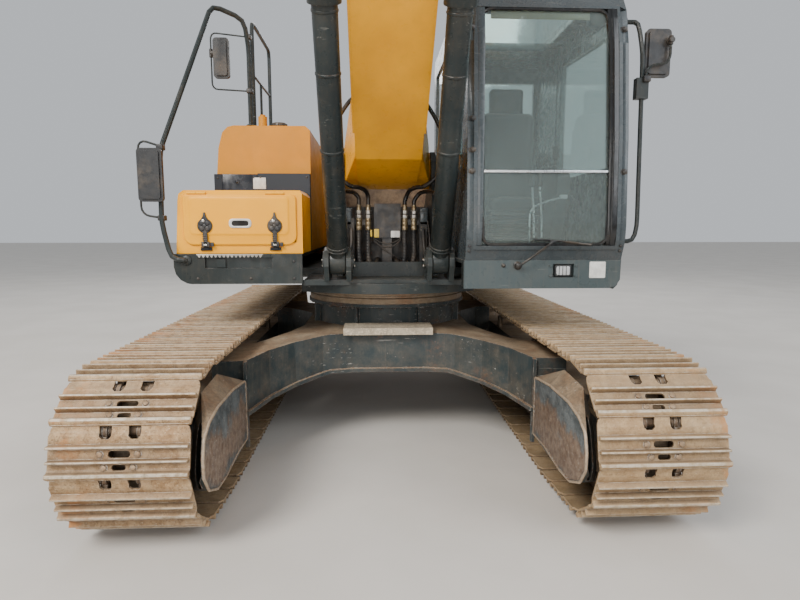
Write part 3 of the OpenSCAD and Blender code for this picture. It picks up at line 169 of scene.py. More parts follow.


# a mask may also paint a shadow, as the band under the toolbox lid does
def paint(name, colour, dust=0.05, wear=0.10, rough=0.30, streak=0.05, scratch=0.0, rust=0.0, low=0.0,
          tone=0.75, masks=(), other=None, lie=None, spec=0.3):
    """Sprayed steel: shade changes, dust that lies and clings, runs, scratches, chipped edges and rust.
    A mask is (colour, roughness, ((axis, lo, hi), ...)) for a small region of another colour, and other is
    (axis, from, colour) for a second shade beyond a place."""
    k = Mat(name)
    k.shader.inputs["Specular IOR Level"].default_value = spec
    dark = shade(colour, tone)
    base = k.mix(k.blot(2.3, 5, 0.3, 0.7), dark, shade(colour, 1.05, 0.003))
    base = k.mix(k.blot(13, 5, 0.45, 0.75, 0, 0.4, 0.6), base, dark)
    if other:
        index, start, tint = other
        tint = k.mix(k.blot(2.3, 5, 0.3, 0.7), shade(tint, 0.85), tint)
        base = k.mix(k.ramp(k.place(index), start - 0.01, start), base, tint)
    up = k.ramp(k.axis(2), 0.3, 0.95)
    cling = k.blot(5.5, 7, 0.42, 0.72, rough=0.66)
    runs = k.blot(11, 5, 0.50, 0.80, 0, streak, 0.62, (5, 5, 0.32))
    fine = k.blot(24, 6, 0.52, 0.75, 0, dust * 0.7, 0.7, (1.5, 1.5, 0.8))
    d = k.add(k.mul(cling, dust), k.mul(up, dust * 1.9 if lie is None else lie))
    if low:
        d = k.add(d, k.mul(k.ramp(k.place(), 1.0, 0.25, 0, low), k.blot(9, 6, 0.35, 0.6, rough=0.7)))
    d = k.mul(k.add(d, runs, fine), k.blot(60, 5, 0.30, 0.62, 0.55, 1.0, 0.7))
    col = k.mix(d, base, k.mix(k.blot(7, 4, 0.35, 0.65), DUST, CLAY))
    if rust:
        wide = k.blot(3.4, 7, 0.60 - rust * 0.2, 0.74, rough=0.7)
        spread = k.mul(wide, k.blot(45, 5, 0.35, 0.6, rough=0.7), rust)
        col = k.mix(spread, col, k.mix(k.blot(50, 4, 0.4, 0.6), RUST, (0.30, 0.13, 0.05)))
    if scratch:
        marks = []
        for turn, size in (((0.3, 0.5, 0.9), 7), ((1.1, 0.2, 2.2), 9), ((0.1, 1.3, 0.2), 12)):
            lines = k.blot(size, 6, 0.66, 0.69, rough=0.6, stretch=(0.5, 5.0, 9.0), turn=turn)
            marks.append(k.mul(lines, k.blot(2.7, 3, 0.45, 0.6)))
        col = k.mix(k.mul(k.add(*marks), scratch), col, (0.46, 0.45, 0.41))
    chips = k.mul(k.edges(0.006), k.blot(28, 6, 0.5 - wear * 0.25, 0.62, rough=0.7))
    spots = k.blot(38, 5, 0.70 - wear * 0.08, 0.74, rough=0.65)
    chips = k.add(k.mul(chips, wear * 2.0), k.mul(spots, wear))
    col = k.mix(chips, col, k.mix(k.blot(80, 3, 0.4, 0.6), RUST, BARE))
    r = k.add(k.blot(20, 4, 0.3, 0.7, rough - 0.05, rough + 0.1), k.mul(d, 0.4))
    for tint, gloss, limits in masks:
        f = k.mul(*[k.inside(*limit) for limit in limits])
        col = k.mix(f, col, tint)
        r = k.add(k.mul(r, k.math("SUBTRACT", 1.0, f)), k.mul(f, gloss))
    # sprayed steel is never quite flat: a slow wave under the fine peel
    k.bump(k.add(k.noise(170, 3), k.mul(chips, -0.6), k.mul(k.noise(3.2, 2), 3.0)), 0.22, 0.0012,
           soft=0.0035)
    return k.out(col, r)


def metal(name, colour, tint, rough=0.5, metallic=0.5, dust=0.35, edge=0.6, scale=18, bump=0.5, stain=0.0,
          dark=0.6):
    """Bare or rusty steel with polished edges, dirt that packs in, and orange stains."""
    k = Mat(name, metal=metallic)
    base = k.mix(k.blot(scale, 6, 0.35, 0.65, rough=0.65), colour, tint)
    base = k.mix(k.blot(3.1, 5, 0.38, 0.66, 0, 0.65, 0.6), base, shade(colour, dark))
    base = k.mix(k.blot(70, 6, 0.52, 0.66, 0, 0.55, 0.75), base, shade(colour, 0.45))
    if stain:
        base = k.mix(k.mul(k.blot(4.2, 7, 0.50, 0.66, rough=0.7), stain), base, (0.42, 0.15, 0.035))
    d = k.mul(k.blot(7, 6, 0.35, 0.65, rough=0.6), dust)
    d = k.add(d, k.mul(k.ramp(k.axis(2), 0.2, 0.9), dust))
    d = k.mul(d, k.blot(55, 5, 0.32, 0.6, 0.45, 1.0, 0.7))
    e = k.mul(k.edges(0.006), edge, k.blot(35, 4, 0.3, 0.55, rough=0.6))
    r = k.add(k.blot(25, 4, 0.3, 0.7, rough - 0.08, rough + 0.15), k.mul(d, 0.4))
    k.bump(k.noise(90, 6, 0.7), bump, 0.002, soft=0.003)
    return k.out(k.mix(e, k.mix(d, base, DUST), SHINE), k.math("SUBTRACT", r, k.mul(e, 0.25)))


def track_steel(name, colour, tint, bare, rib):
    """Shoe steel: dried clay over brown steel, with orange rust at the outer ends."""
    k = Mat(name, metal=0.35)
    base = k.mix(k.blot(16, 7, 0.36, 0.64, rough=0.7), colour, tint)
    base = k.mix(k.blot(46, 6, 0.48, 0.68, 0, 0.7, 0.75), base, shade(colour, 0.45))
    base = k.mix(k.blot(110, 4, 0.56, 0.63, 0, 0.75, 0.8), base, (0.10, 0.062, 0.036))
    base = k.mix(k.blot(95, 4, 0.59, 0.65, 0, 0.6, 0.8, (1, 1, 1.02)), base, (0.66, 0.55, 0.40))
    drag = k.blot(13, 6, 0.48, 0.70, rough=0.65, stretch=(0.6, 4.0, 4.0))
    base = k.mix(k.mul(drag, 0.45), base, (0.50, 0.37, 0.24))
    ends = k.ramp(k.math("ABSOLUTE", k.place(0)), 1.30, 1.49)
    stain = k.mul(k.add(k.mul(ends, 0.8), 0.12), k.blot(5.2, 7, 0.46, 0.62, rough=0.72))
    base = k.mix(stain, base, (0.46, 0.19, 0.055))
    base = k.mix(k.mul(k.ramp(k.place(0), -0.6, 0.6), 0.30), base, (0.50, 0.36, 0.20))
    lie = k.mul(k.ramp(k.axis(2), 0.25, 0.9), k.blot(9, 6, 0.30, 0.62, rough=0.7), 0.55)
    base = k.mix(lie, base, DUST)
    # painted shade with packed dirt: dark brown in the crevices between shoes and links
    base = k.mix(k.mul(k.shade_in_nooks(0.06), 0.75), base, (0.085, 0.055, 0.035))
    e = k.mul(k.add(k.edges(0.005), rib), k.blot(26, 5, 0.34, 0.62, rough=0.7), bare)
    k.bump(k.noise(75, 8, 0.75), 0.75, 0.0025, soft=0.002)
    r = k.math("SUBTRACT", k.blot(25, 4, 0.3, 0.7, 0.52, 0.78), k.mul(e, 0.22))
    return k.out(k.mix(e, base, (0.66, 0.60, 0.51)), r)


def guard_steel(name):
    """The idler guard's face: worn blue-grey paint with one brown patch low down."""
    k = Mat(name, metal=0.1)
    base = k.mix(k.blot(9, 6, 0.35, 0.65, rough=0.7), (0.050, 0.058, 0.060), (0.13, 0.145, 0.148))
    base = k.mix(k.blot(40, 6, 0.50, 0.66, 0, 0.6, 0.75), base, (0.045, 0.052, 0.055))
    level = k.math("SUBTRACT", k.add(k.place(), k.mul(k.noise(4.5, 7, 0.7), 0.5)), 0.25)
    patch = k.mul(k.ramp(level, 0.46, 0.54, 1.0, 0.0), k.ramp(level, 0.24, 0.29))
    brown = k.mix(k.blot(30, 5, 0.4, 0.6, rough=0.7), (0.13, 0.075, 0.045), (0.22, 0.15, 0.10))
    base = k.mix(k.mul(patch, 0.85), base, brown)
    base = k.mix(k.blot(75, 5, 0.60, 0.65, 0, 0.6, 0.75), base, (0.50, 0.49, 0.44))
    k.bump(k.noise(70, 6, 0.7), 0.4, 0.0015)
    return k.out(base, k.blot(25, 4, 0.3, 0.7, 0.45, 0.7))


def plain(name, colour, rough=0.45, metallic=0.0, bump=0.15, scale=60, dust=0.15):
    k = Mat(name, metal=metallic)
    base = k.mix(k.blot(scale, 4, 0.35, 0.65), colour, shade(colour, 0.75))
    d = k.mul(k.blot(8, 5, 0.4, 0.7, rough=0.6), dust)
    d = k.add(d, k.mul(k.ramp(k.axis(2), 0.4, 1.0), dust))
    k.bump(k.noise(scale * 3, 3), bump, 0.001, soft=0.002)
    return k.out(k.mix(d, base, DUST), k.blot(22, 3, 0.3, 0.7, rough - 0.07, rough + 0.1))


def glass(name, colour, weight=0.92, rough=0.03):
    k = Mat(name)
    k.shader.inputs["Transmission Weight"].default_value = weight
    k.shader.inputs["IOR"].default_value = 1.46
    smear = k.blot(6, 5, 0.5, 0.8, rough=0.6, stretch=(1, 1, 0.5))
    return k.out(k.mix(k.mul(smear, 0.12), colour, (0.75, 0.74, 0.68)),
                 k.ramp(smear, 0.0, 1.0, rough, rough + 0.12))


def cloth(name, colour, rough=0.9):
    """Woven cover: a fine two-way weave with faded patches and dust."""
    k = Mat(name)
    k.shader.inputs["Sheen Weight"].default_value = 0.25
    weave = k.add(*[k.mul(k.blot(320, 2, 0.42, 0.58, rough=0.5, stretch=way), 0.5)
                    for way in ((1, 0.25, 1), (0.25, 1, 1))])
    base = k.mix(weave, shade(colour, 0.55), colour)
    base = k.mix(k.blot(5, 5, 0.45, 0.75, 0, 0.35), base, shade(colour, 1.7, 0.01))
    base = k.mix(k.mul(k.ramp(k.axis(2), 0.4, 1.0), 0.12), base, DUST)
    k.bump(weave, 0.5, 0.0012)
    return k.out(base, k.blot(30, 3, 0.3, 0.7, rough - 0.06, rough + 0.05))


def checker_plate(name, colour):
    """Step plate with raised tears in two directions."""
    k = Mat(name, metal=0.3)
    tear = k.add(*[k.blot(60, 1, 0.60, 0.66, rough=0.3, stretch=(1.0, 0.35, 1.0), turn=(0, 0, a))
                   for a in (0.785, -0.785)])
    base = k.mix(k.blot(18, 6, 0.35, 0.65, rough=0.65), colour, shade(colour, 0.7))
    base = k.mix(k.mul(tear, 0.5), base, shade(colour, 1.35))
    k.bump(tear, 0.8, 0.002, soft=0.002)
    return k.out(base, k.blot(25, 4, 0.3, 0.7, 0.5, 0.75))


M = {
    "dark": paint("dark_paint", (0.020, 0.028, 0.029), dust=0.06, wear=0.12, scratch=0.25, lie=0.05),
    "cab": paint("cab_paint", (0.055, 0.070, 0.078), dust=0.04, rough=0.24, streak=0.03, scratch=0.15,
                 spec=0.5),
    "skirt": paint("skirt_paint", (0.012, 0.019, 0.019), wear=0.14, streak=0.08, scratch=0.3,
                   other=(0, 0.45, (0.060, 0.080, 0.084))),
    "under": paint("under_paint", (0.028, 0.042, 0.046), dust=0.10, wear=0.60, rough=0.42, streak=0.10,
                   scratch=1.0, rust=0.45, low=0.14, lie=0.75),
    "boom": paint("boom_paint", (1.0, 0.44, 0.010), dust=0.04, wear=0.08, tone=0.80),
    "orange": paint("orange_paint", (0.78, 0.31, 0.012), dust=0.07, rough=0.36, streak=0.10, tone=0.82),
    # painted shade: the fuel tank wears the toolbox's yellow paint, darkened into a shaded copy of it
    "tank": paint("tank_paint_shaded", (0.62, 0.25, 0.008), wear=0.06, rough=0.42, tone=0.88,
                  masks=[(FRONT_BOX, 0.3, ((1, 1.0, SWING_Y - 0.3315), (2, 0.5, 1.873)))]),
    # the yellow's mask is a painted shadow: a near-black band just below the toolbox lid's lower edge
    "yellow": paint("yellow_paint", (1.0, 0.43, 0.006), dust=0.03, rough=0.34, streak=0.03, tone=0.92,
                    spec=0.2, masks=[(LID_GAP_SHADOW, 0.45, ((1, 1.0, SWING_Y - 0.8835), (2, 1.329, 1.3525)))]),
    "track": track_steel("track_steel", (0.29, 0.18, 0.088), (0.48, 0.335, 0.185), 0.5, 0.0),
    "track_tip": track_steel("track_tip", (0.35, 0.27, 0.18), (0.46, 0.39, 0.28), 0.85, 0.7),
    "track_bolt": metal("track_bolt", (0.26, 0.16, 0.09), (0.40, 0.30, 0.20), metallic=0.7, edge=0.9),
    "link": metal("link_steel", (0.085, 0.055, 0.035), (0.17, 0.11, 0.07), 0.55, 0.4, 0.30, scale=26),
    "iron": metal("cast_iron", (0.10, 0.075, 0.055), (0.19, 0.14, 0.10), 0.6, 0.4, 0.45, 0.35, 30, 0.7),
    "bucket": metal("bucket_steel", (0.12, 0.075, 0.045), (0.24, 0.15, 0.09), edge=0.9, scale=20, bump=0.6,
                    stain=0.5),
    "steel": metal("bare_steel", (0.26, 0.19, 0.125), (0.38, 0.30, 0.21), 0.45, edge=0.5, scale=26,
                   bump=0.4, stain=0.25),
    "rusty": metal("rusty_pipe", (0.16, 0.07, 0.035), (0.30, 0.15, 0.08), 0.7, 0.2, 0.12, 0.2, 22, 0.6,
                   0.6),
    "step": checker_plate("step_plate", (0.50, 0.42, 0.31)),
    "chrome": metal("chromed_rod", (0.72, 0.72, 0.73), (0.64, 0.64, 0.65), 0.12, 1.0, 0.03, 0.0, 40, 0.03,
                    dark=0.9),
    "black": plain("black_plastic", (0.018, 0.019, 0.021), 0.42),
    "black_metal": plain("black_metal", (0.022, 0.024, 0.026), 0.35, 0.3, dust=0.2),
    "rubber": plain("rubber", (0.017, 0.017, 0.018), 0.55, bump=0.3, dust=0.12),
    "rubber_smooth": plain("rubber_smooth", (0.012, 0.012, 0.013), 0.30, bump=0.1, dust=0.10),
    "fitting": metal("fitting_steel", (0.36, 0.27, 0.15), (0.50, 0.42, 0.28), 0.35, 0.85, 0.2, scale=40),
    "zinc": metal("zinc_steel", (0.42, 0.40, 0.36), (0.58, 0.56, 0.52), 0.3, 0.9, 0.15, 0.5, 40),
    "bright": metal("bright_bar", (0.52, 0.55, 0.57), (0.62, 0.65, 0.67), 0.3, 0.9, 0.05, 0.2, 30,
                    dark=0.85),
    "box_black": plain("box_black", FRONT_BOX, 0.22, 0.1, 0.04, 20, 0.04),
    "pale_worn": metal("worn_edge", (0.42, 0.41, 0.37), (0.60, 0.58, 0.52), dust=0.25, edge=0.5),
    "guard": guard_steel("guard_steel"),
    "guard_rim": metal("guard_rim", (0.30, 0.20, 0.12), (0.46, 0.35, 0.23), 0.55, 0.3, 0.4, 0.8, 30),
    "gloss_black": plain("gloss_black", (0.010, 0.011, 0.012), 0.16, bump=0.05, dust=0.03),
    "pale": plain("pale_plate", (0.74, 0.74, 0.70), bump=0.05, scale=30, dust=0.12),
    "tag_yellow": plain("yellow_tag", (0.72, 0.50, 0.05), bump=0.05, scale=30, dust=0.2),
    "strip": glass("sun_strip", (0.42, 0.38, 0.20), 0.35, 0.2),
    "amber": glass("amber_cover", (0.95, 0.72, 0.42), 0.35, 0.25),
    "lens": glass("lamp_lens", (0.92, 0.94, 0.95), 0.55, 0.10),
    "mirror": metal("mirror_glass", (0.86, 0.88, 0.90), (0.80, 0.82, 0.84), 0.05, 1.0, 0.06, 0.0, 12, 0.01,
                    dark=0.95),
    "glass": glass("tinted_glass", (0.64, 0.76, 0.74)),
    "fabric": cloth("seat_cloth", (0.075, 0.078, 0.085)),
    "vinyl": plain("seat_vinyl", (0.030, 0.031, 0.034), 0.5, bump=0.3, scale=90, dust=0.1),
    "grey": plain("grey_trim", (0.10, 0.105, 0.11), 0.6, bump=0.06, scale=14, dust=0.1),
    # near-black painted shade, behind the louvres and in the pull's hollow
    "void": plain("painted_shade_backing", (0.008, 0.008, 0.008), 0.9, dust=0.05),
}

USES = {
    "dark": ["revolving_frame", "handrails", "boom_barrels", "travel_motors"],
    "cab": ["cab_shell", "cab_door"],
    "skirt": ["side_skirts"],
    "under": ["carbody", "track_frames"],
    "boom": ["boom", "arm", "arm_barrel", "bucket_barrel", "rocker_links", "push_link"],
    "orange": ["hydraulic_tank", "house_panels", "engine_hood", "pump_door", "cooler_door",
               "counterweight"],
    "tank": ["fuel_tank"],
    "yellow": ["toolbox", "toolbox_lid"],
    "link": ["track_left", "track_right"],
    "iron": ["idlers", "sprockets", "lower_rollers", "carrier_rollers", "engine_block"],
    "bucket": ["bucket"],
    "steel": ["slew_ring"],
    "step": ["front_step"],
    "rusty": ["exhaust"],
    "chrome": ["boom_rods", "arm_rod", "bucket_rod"],
    "black": ["mirrors", "operator_seat", "valve_cover"],
    "rubber_smooth": ["boom_hoses", "arm_hoses"],
    "glass": ["cab_glass", "door_glass"],
}
for key, names in USES.items():
    for name in names:
        slots = bpy.data.objects[name].data.materials
        slots.clear()
        slots.append(M[key])


# Mesh kit: sizes in mm unless a line says otherwise
UP = Vector((0, 0, 1))
SIDE = Vector((1, 0, 0))
FRONT = Vector((0, -1, 0))
DARK = "painted_dark"
STEEL = "bare_steel"
YELLOW = "painted_yellow"
ORANGE = "painted_orange"
BOX_FACES = [(0, 1, 3, 2), (4, 6, 7, 5), (0, 4, 5, 1), (2, 3, 7, 6), (0, 2, 6, 4), (1, 5, 7, 3)]


def P(x, u, z):
    """A point given in mm as sideways, forward of the swing centre, and up."""
    return Vector((x / 1000, SWING_Y - u / 1000, z / 1000))


def around(cx, cy, r, angles):
    """Points of a circle at angles in degrees."""
    return [(cx + r * math.cos(math.radians(a)), cy + r * math.sin(math.radians(a))) for a in angles]


def even(n, start=0.0):
    """So many angles in degrees, evenly round a circle."""
    return [start + 360 * i / n for i in range(n)]


class Shape:
    """Collects solids in one mesh, and becomes one piece."""

    def __init__(self):
        self.bm = bmesh.new()
        self.mat = 0

    def join(self, verts, faces, bevel=0.0, segments=2):
        """Adds a closed solid given by its points and faces, with rounded edges if asked."""
        bm = bmesh.new()
        vs = [bm.verts.new(v) for v in verts]
        for f in faces:
            bm.faces.new([vs[i] for i in f])
        bmesh.ops.recalc_face_normals(bm, faces=bm.faces)
        self.take(bm, bevel, segments)

    def take(self, bm, bevel=0.0, segments=2):
        if bevel:
            edges = [e for e in bm.edges if len(e.link_faces) == 2 and e.calc_face_angle(0) > 0.5]
            bmesh.ops.bevel(bm, geom=edges, offset=bevel / 1000, segments=segments, profile=0.5,
                            affect="EDGES", clamp_overlap=True)
        m = bpy.data.meshes.new("part")
        bm.to_mesh(m)
        bm.free()
        n = len(self.bm.faces)
        self.bm.from_mesh(m)
        self.bm.faces.ensure_lookup_table()
        for f in self.bm.faces[n:]:
            f.material_index = self.mat
        bpy.data.meshes.remove(m)

    def box(self, x0, x1, u0, u1, z0, z1, bevel=1.5, segments=2):
        self.join([P(x, u, z) for x in (x0, x1) for u in (u0, u1) for z in (z0, z1)], BOX_FACES, bevel,
                  segments)

    def loft(self, rings, bevel=0.0, segments=2, closed=False):
        """Skins equal-count rings of points; the two ends are capped unless it closes on itself."""
        n = len(rings[0])
        f = []
        for k in range(len(rings) if closed else len(rings) - 1):
            a, b = k * n, ((k + 1) % len(rings)) * n
            for i in range(n):
                j = (i + 1) % n
                f.append((a + i, a + j, b + j, b + i))
        if not closed:
            f += [tuple(range(n)), tuple(range((len(rings) - 1) * n, len(rings) * n))]
        self.join([p for r in rings for p in r], f, bevel, segments)

    def prism(self, pts, a, b, plane="xz", bevel=1.5, segments=2):
        """An outline pushed from a to b across its plane: xz along u, uz along x, xu along z."""
        def at(p, w):
            return {"xz": P(p[0], w, p[1]), "uz": P(w, p[0], p[1]), "xu": P(p[0], p[1], w)}[plane]
        self.loft([[at(p, w) for p in pts] for w in (a, b)], bevel, segments)

    def slab(self, outline, u0, u1, bevel=1.5, segments=2):
        """A rounded rectangle (left, right, low, high, radius) that faces forward."""
        self.prism(rounded(*outline), u0, u1, "xz", bevel, segments)

    def lathe(self, p, q, profile, n=32):
        """Turns (distance along p to q, radius) pairs round the line from p to q."""
        d = (q - p).normalized()
        s = d.orthogonal().normalized()
        t = d.cross(s)
        turns = [s * x + t * y for x, y in around(0, 0, 1, even(n))]
        self.loft([[p + d * (h / 1000) + w * (max(r, 0.05) / 1000) for w in turns] for h, r in profile])

    def turn(self, x, u, z, way, profile, n=32):
        """Turns pairs round a line that starts at a spot and runs along a frame direction."""
        self.lathe(P(x, u, z), P(x, u, z) + way, profile, n)

    def rod(self, p, q, r, n=20, bevel=1.0):
        length = (q - p).length * 1000
        b = min(bevel, r * 0.4, length * 0.3)
        self.lathe(p, q, [(0, r - b), (b, r), (length - b, r), (length, r - b)], n)

    def nut(self, p, d, r, h, crown=0.25):
        """A hex head on its washer at p, standing along d."""
        d = d.normalized()
        s = d.orthogonal().normalized()
        t = d.cross(s)
        self.lathe(p, p + d, [(0, r * 1.15), (h * 0.15, r * 1.15), (h * 0.17, r * 1.1)], 18)
        turns = [s * x + t * y for x, y in around(0, 0, 1, even(6))]
        self.loft([[p + d * (h * k / 1000) + w * (r * f / 1000) for w in turns]
                   for k, f in ((0.1, 1.0), (0.8, 1.0), (1.0, 1.0 - crown))], r * 0.08)

    def nuts(self, spots, way, r, h, crown=0.25):
        for spot in spots:
            self.nut(P(*spot), way, r, h, crown)

    def sweep(self, pts, r, n=12, ridge=None):
        """A tube along points; ridge=(depth, pitch) winds a spiral wrap round it."""
        rings = []
        side = None
        run = 0.0
        for k, c in enumerate(pts):
            t = (pts[min(k + 1, len(pts) - 1)] - pts[max(k - 1, 0)]).normalized()
            if side is None:
                side = t.orthogonal().normalized()
            side = (side - t * side.dot(t)).normalized()
            other = t.cross(side)
            if k:
                run += (c - pts[k - 1]).length * 1000
            ring = []
            for i, (x, y) in enumerate(around(0, 0, 1, even(n))):
                wrapped = ridge and (run / ridge[1] + i / n) % 1.0 < 0.62
                ring.append(c + (side * x + other * y) * ((r + ridge[0] if wrapped else r) / 1000))
            rings.append(ring)
        self.loft(rings)

    def border(self, pts, way, profile, level=False):
        """A strip round a closed line whose last point repeats its first. The profile's pairs run across the
        strip and along way, or square to the line where level is set."""
        rings = []
        m = len(pts) - 1
        for k in range(m):
            t = (pts[(k + 1) % m] - pts[k - 1]).normalized()
            side = t.cross(way).normalized()
            out = side.cross(t).normalized() if level else way
            rings.append([pts[k] + side * (a / 1000) + out * (b / 1000) for a, b in profile])
        self.loft(rings, closed=True)

    def mesh(self, name):
        me = bpy.data.meshes.new(name)
        self.bm.to_mesh(me)
        self.bm.free()
        return me

    def make(self, name, mats, slot="black_plastic", smooth=40, replaces=(), body="upper_structure"):
        """The piece, which rides on a body when one is given, and otherwise stays where it is built."""
        bmesh.ops.recalc_face_normals(self.bm, faces=self.bm.faces)
        me = self.mesh(name)
        for m in mats.split():
            me.materials.append(M[m])
        ob = bpy.data.objects.new(name, me)
        bpy.context.collection.objects.link(ob)
        if smooth:
            for f in me.polygons:
                f.use_smooth = True
            me.set_sharp_from_angle(angle=math.radians(smooth))
        if body:
            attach(ob, body)
        if replaces:
            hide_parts(*replaces)
        return ob


def rounded(x0, x1, y0, y1, r, n=5, low=None):
    """A rounded rectangle's outline, with its own radius at the two lower corners if low is given."""
    s = r if low is None else low
    out = []
    for cx, cy, c, a0 in ((x1 - r, y1 - r, r, 0), (x0 + r, y1 - r, r, 90), (x0 + s, y0 + s, s, 180),
                          (x1 - s, y0 + s, s, 270)):
        out += around(cx, cy, c, [a0 + 90 * i / n for i in range(n + 1)])
    return out


def round_off(pts, r, n=4, closed=True):
    """Rounds the corners of an outline, or of an open path."""
    out = []
    m = len(pts)
    for k in range(m):
        p = Vector(pts[k])
        if not closed and k in (0, m - 1):
            out.append(p)
            continue
        a = Vector(pts[(k - 1) % m]) - p
        b = Vector(pts[(k + 1) % m]) - p
        q = min(r, a.length * 0.45, b.length * 0.45)
        a = p + a.normalized() * q
        b = p + b.normalized() * q
        for i in range(n + 1):
            t = i / n
            out.append(a * (1 - t) ** 2 + p * 2 * t * (1 - t) + b * t * t)
    return out


def path(pts, r):
    """Row-frame points of a bent bar given as (x, u, z)."""
    return [P(*q) for q in round_off(pts, r, 6, False)]


def spline(pts, step):
    """Row-frame points, a step apart, of a smooth line drawn as part.scad draws its hoses."""
    v = [Vector(p) for p in pts]
    out = []
    for k in range(len(v) - 1):
        a, b, c, d = v[max(k - 1, 0)], v[k], v[k + 1], v[min(k + 2, len(v) - 1)]
        for t in [i / 8 for i in range(8)]:
            out.append(0.5 * (2 * b + (c - a) * t + (2 * a - 5 * b + 4 * c - d) * t * t
                              + (3 * b - a - 3 * c + d) * t ** 3))
    return resample([P(*q) for q in out + [v[-1]]], step)


def resample(c, step):
    out = [c[0]]
    left = step / 1000
    for a, b in zip(c, c[1:]):
        d = (b - a).length
        pos = 0.0
        while d - pos > left:
            pos += left
            out.append(a.lerp(b, pos / d))
            left = step / 1000
        left -= d - pos
    if (out[-1] - c[-1]).length > 0.0004:
        out.append(c[-1])
    return out


# Tracks
GAUGE_X = 1.195
TRACK_Y = SWING_Y - 0.060
IDLER_U, AXLE_Z, PITCH_R, RUN_Z = 1825.0, 432.0, 320.0, 78.0
RAMP = math.radians(4.5)
RAMP_LEN = (AXLE_Z - PITCH_R * math.cos(RAMP) - RUN_Z) / math.sin(RAMP)
RUN_U = IDLER_U + PITCH_R * math.sin(RAMP) - RAMP_LEN * math.cos(RAMP)
ARC = PITCH_R * (math.pi - RAMP)
STOPS = [2 * IDLER_U]
for part in (ARC, RAMP_LEN, 2 * RUN_U, RAMP_LEN, ARC):
    STOPS.append(STOPS[-1] + part)
SHOES = 49
SHOE_MATS = "track track_tip track_bolt link"


def on_path(s):
    """Forward, up and heading (radians) of the pitch line at s mm."""
    s1, s2, s3, s4, s5, _ = STOPS
    if s < s1:
        return -IDLER_U + s, AXLE_Z + PITCH_R, 0.0
    if s < s2:
        a = math.pi / 2 - (s - s1) / PITCH_R
        return IDLER_U + PITCH_R * math.cos(a), AXLE_Z + PITCH_R * math.sin(a), a - math.pi / 2
    if s < s3:
        q = s3 - s
        return RUN_U + q * math.cos(RAMP), RUN_Z + q * math.sin(RAMP), RAMP - math.pi
    if s < s4:
        return RUN_U - (s - s3), RUN_Z, -math.pi
    if s < s5:
        q = s - s4
        return -RUN_U - q * math.cos(RAMP), RUN_Z + q * math.sin(RAMP), -math.pi - RAMP
    a = -math.pi / 2 - RAMP - (s - s5) / PITCH_R
    return -IDLER_U + PITCH_R * math.cos(a), AXLE_Z + PITCH_R * math.sin(a), a - math.pi / 2


def V(x, y, z):
    """A point of a shoe's own frame: x across, y along the track, z outward."""
    return Vector((x / 1000, y / 1000, z / 1000))


def shoe_template():
    """One shoe in its own frame."""
    edge = [(-292, -116), (-284, -124)]
    for c in (-62, 62):
        edge += [(c - 27, -124), (c - 26, -80), (c - 14, -68), (c + 14, -68), (c + 26, -80), (c + 27, -124)]
    edge += [(284, -124), (292, -116), (300, -84), (300, 90), (290, 102), (-290, 102), (-300, 90),
             (-300, -84)]
    bm = bmesh.new()
    rim = []
    for loop in [edge, rounded(-47, 47, -19, 11, 14), rounded(-30, 30, 40, 64, 11)]:
        vs = [bm.verts.new(V(x, y, 41)) for x, y in loop]
        rim += [bm.edges.new((vs[i], vs[(i + 1) % len(vs)])) for i in range(len(vs))]
    bmesh.ops.triangle_fill(bm, edges=rim, use_beauty=True, use_dissolve=False)
    for v in bmesh.ops.extrude_face_region(bm, geom=bm.faces[:])["geom"]:
        if isinstance(v, bmesh.types.BMVert):
            v.co.z += 0.010
    # the lip bends down at one edge of the shoe and up at the other
    for y in (-0.096, -0.084, 0.060, 0.072):
        bmesh.ops.bisect_plane(bm, geom=bm.verts[:] + bm.edges[:] + bm.faces[:], plane_co=(0, y, 0),
                               plane_no=(0, 1, 0))
    for v in bm.verts:
        y = v.co.y
        if y < -0.084:
            v.co.z -= 0.006 * min(1, (-0.084 - y) / 0.012)
        if y > 0.060:
            v.co.z += 0.010 * min(1, (y - 0.060) / 0.012)
    bmesh.ops.recalc_face_normals(bm, faces=bm.faces)
    s = Shape()
    s.take(bm)
    # three ribs, then the worn tops of the ribs
    ribs = [([(-49, 48), (-45, 62), (-43, 75), (-41, 77.5), (-33, 77.5), (-31, 75), (-29, 62),
              (-25, 48)], 298),
            ([(15, 48), (19, 62), (20, 75), (22, 77.5), (29, 77.5), (31, 75), (33, 62), (37, 48)], 296),
            ([(64, 50), (70, 62), (73, 73), (77, 76.5), (88, 76.5), (94, 72), (99, 62), (101, 52)], 299)]
    for pts, half in ribs:
        s.loft([[V(x, *p) for p in pts] for x in (-half, half)], 1.2)
    s.mat = 1
    for y0, y1, h, half in ((-42, -32, 77.7, 295), (21, 30, 77.7, 293), (75, 90, 76.8, 296)):
        top = [(y0, h - 3), (y0 + 1.5, h), (y1 - 1.5, h), (y1, h - 3)]
        s.loft([[V(x, *p) for p in top] for x in (-half, half)])
    s.mat = 2
    for x, y in ((-80, -4), (80, -4), (-62, 52), (62, 52)):
        s.nut(V(x, y, 50), UP, 14, 11, 0.35)
    return s.mesh("shoe_template")


def link_template():
    """A pair of chain links with their bushing, in the shoe's frame."""
    s = Shape()
    s.mat = 3
    body = [(-70, -34), (-40, -44), (40, -44), (70, -34), (84, -10), (84, 16), (60, 37), (-60, 37),
            (-84, 16), (-84, -10)]
    for d in (-1, 1):
        s.loft([[V(d * x, *p) for p in body] for x in (66, 98)], 4, 2)
        for y, x0, x1 in ((-95, 62, 82), (95, 84, 106)):
            w = x1 - x0
            s.lathe(V(d * x0, y, -2), V(d * x1, y, -2), [(0, 33), (2, 36), (w - 2, 36), (w, 33)], 24)
        s.rod(V(d * 104, 95, -2), V(d * 110, 95, -2), 19, 16)
    s.rod(V(-66, 95, -2), V(66, 95, -2), 26, 20)
    return s.mesh("link_template")


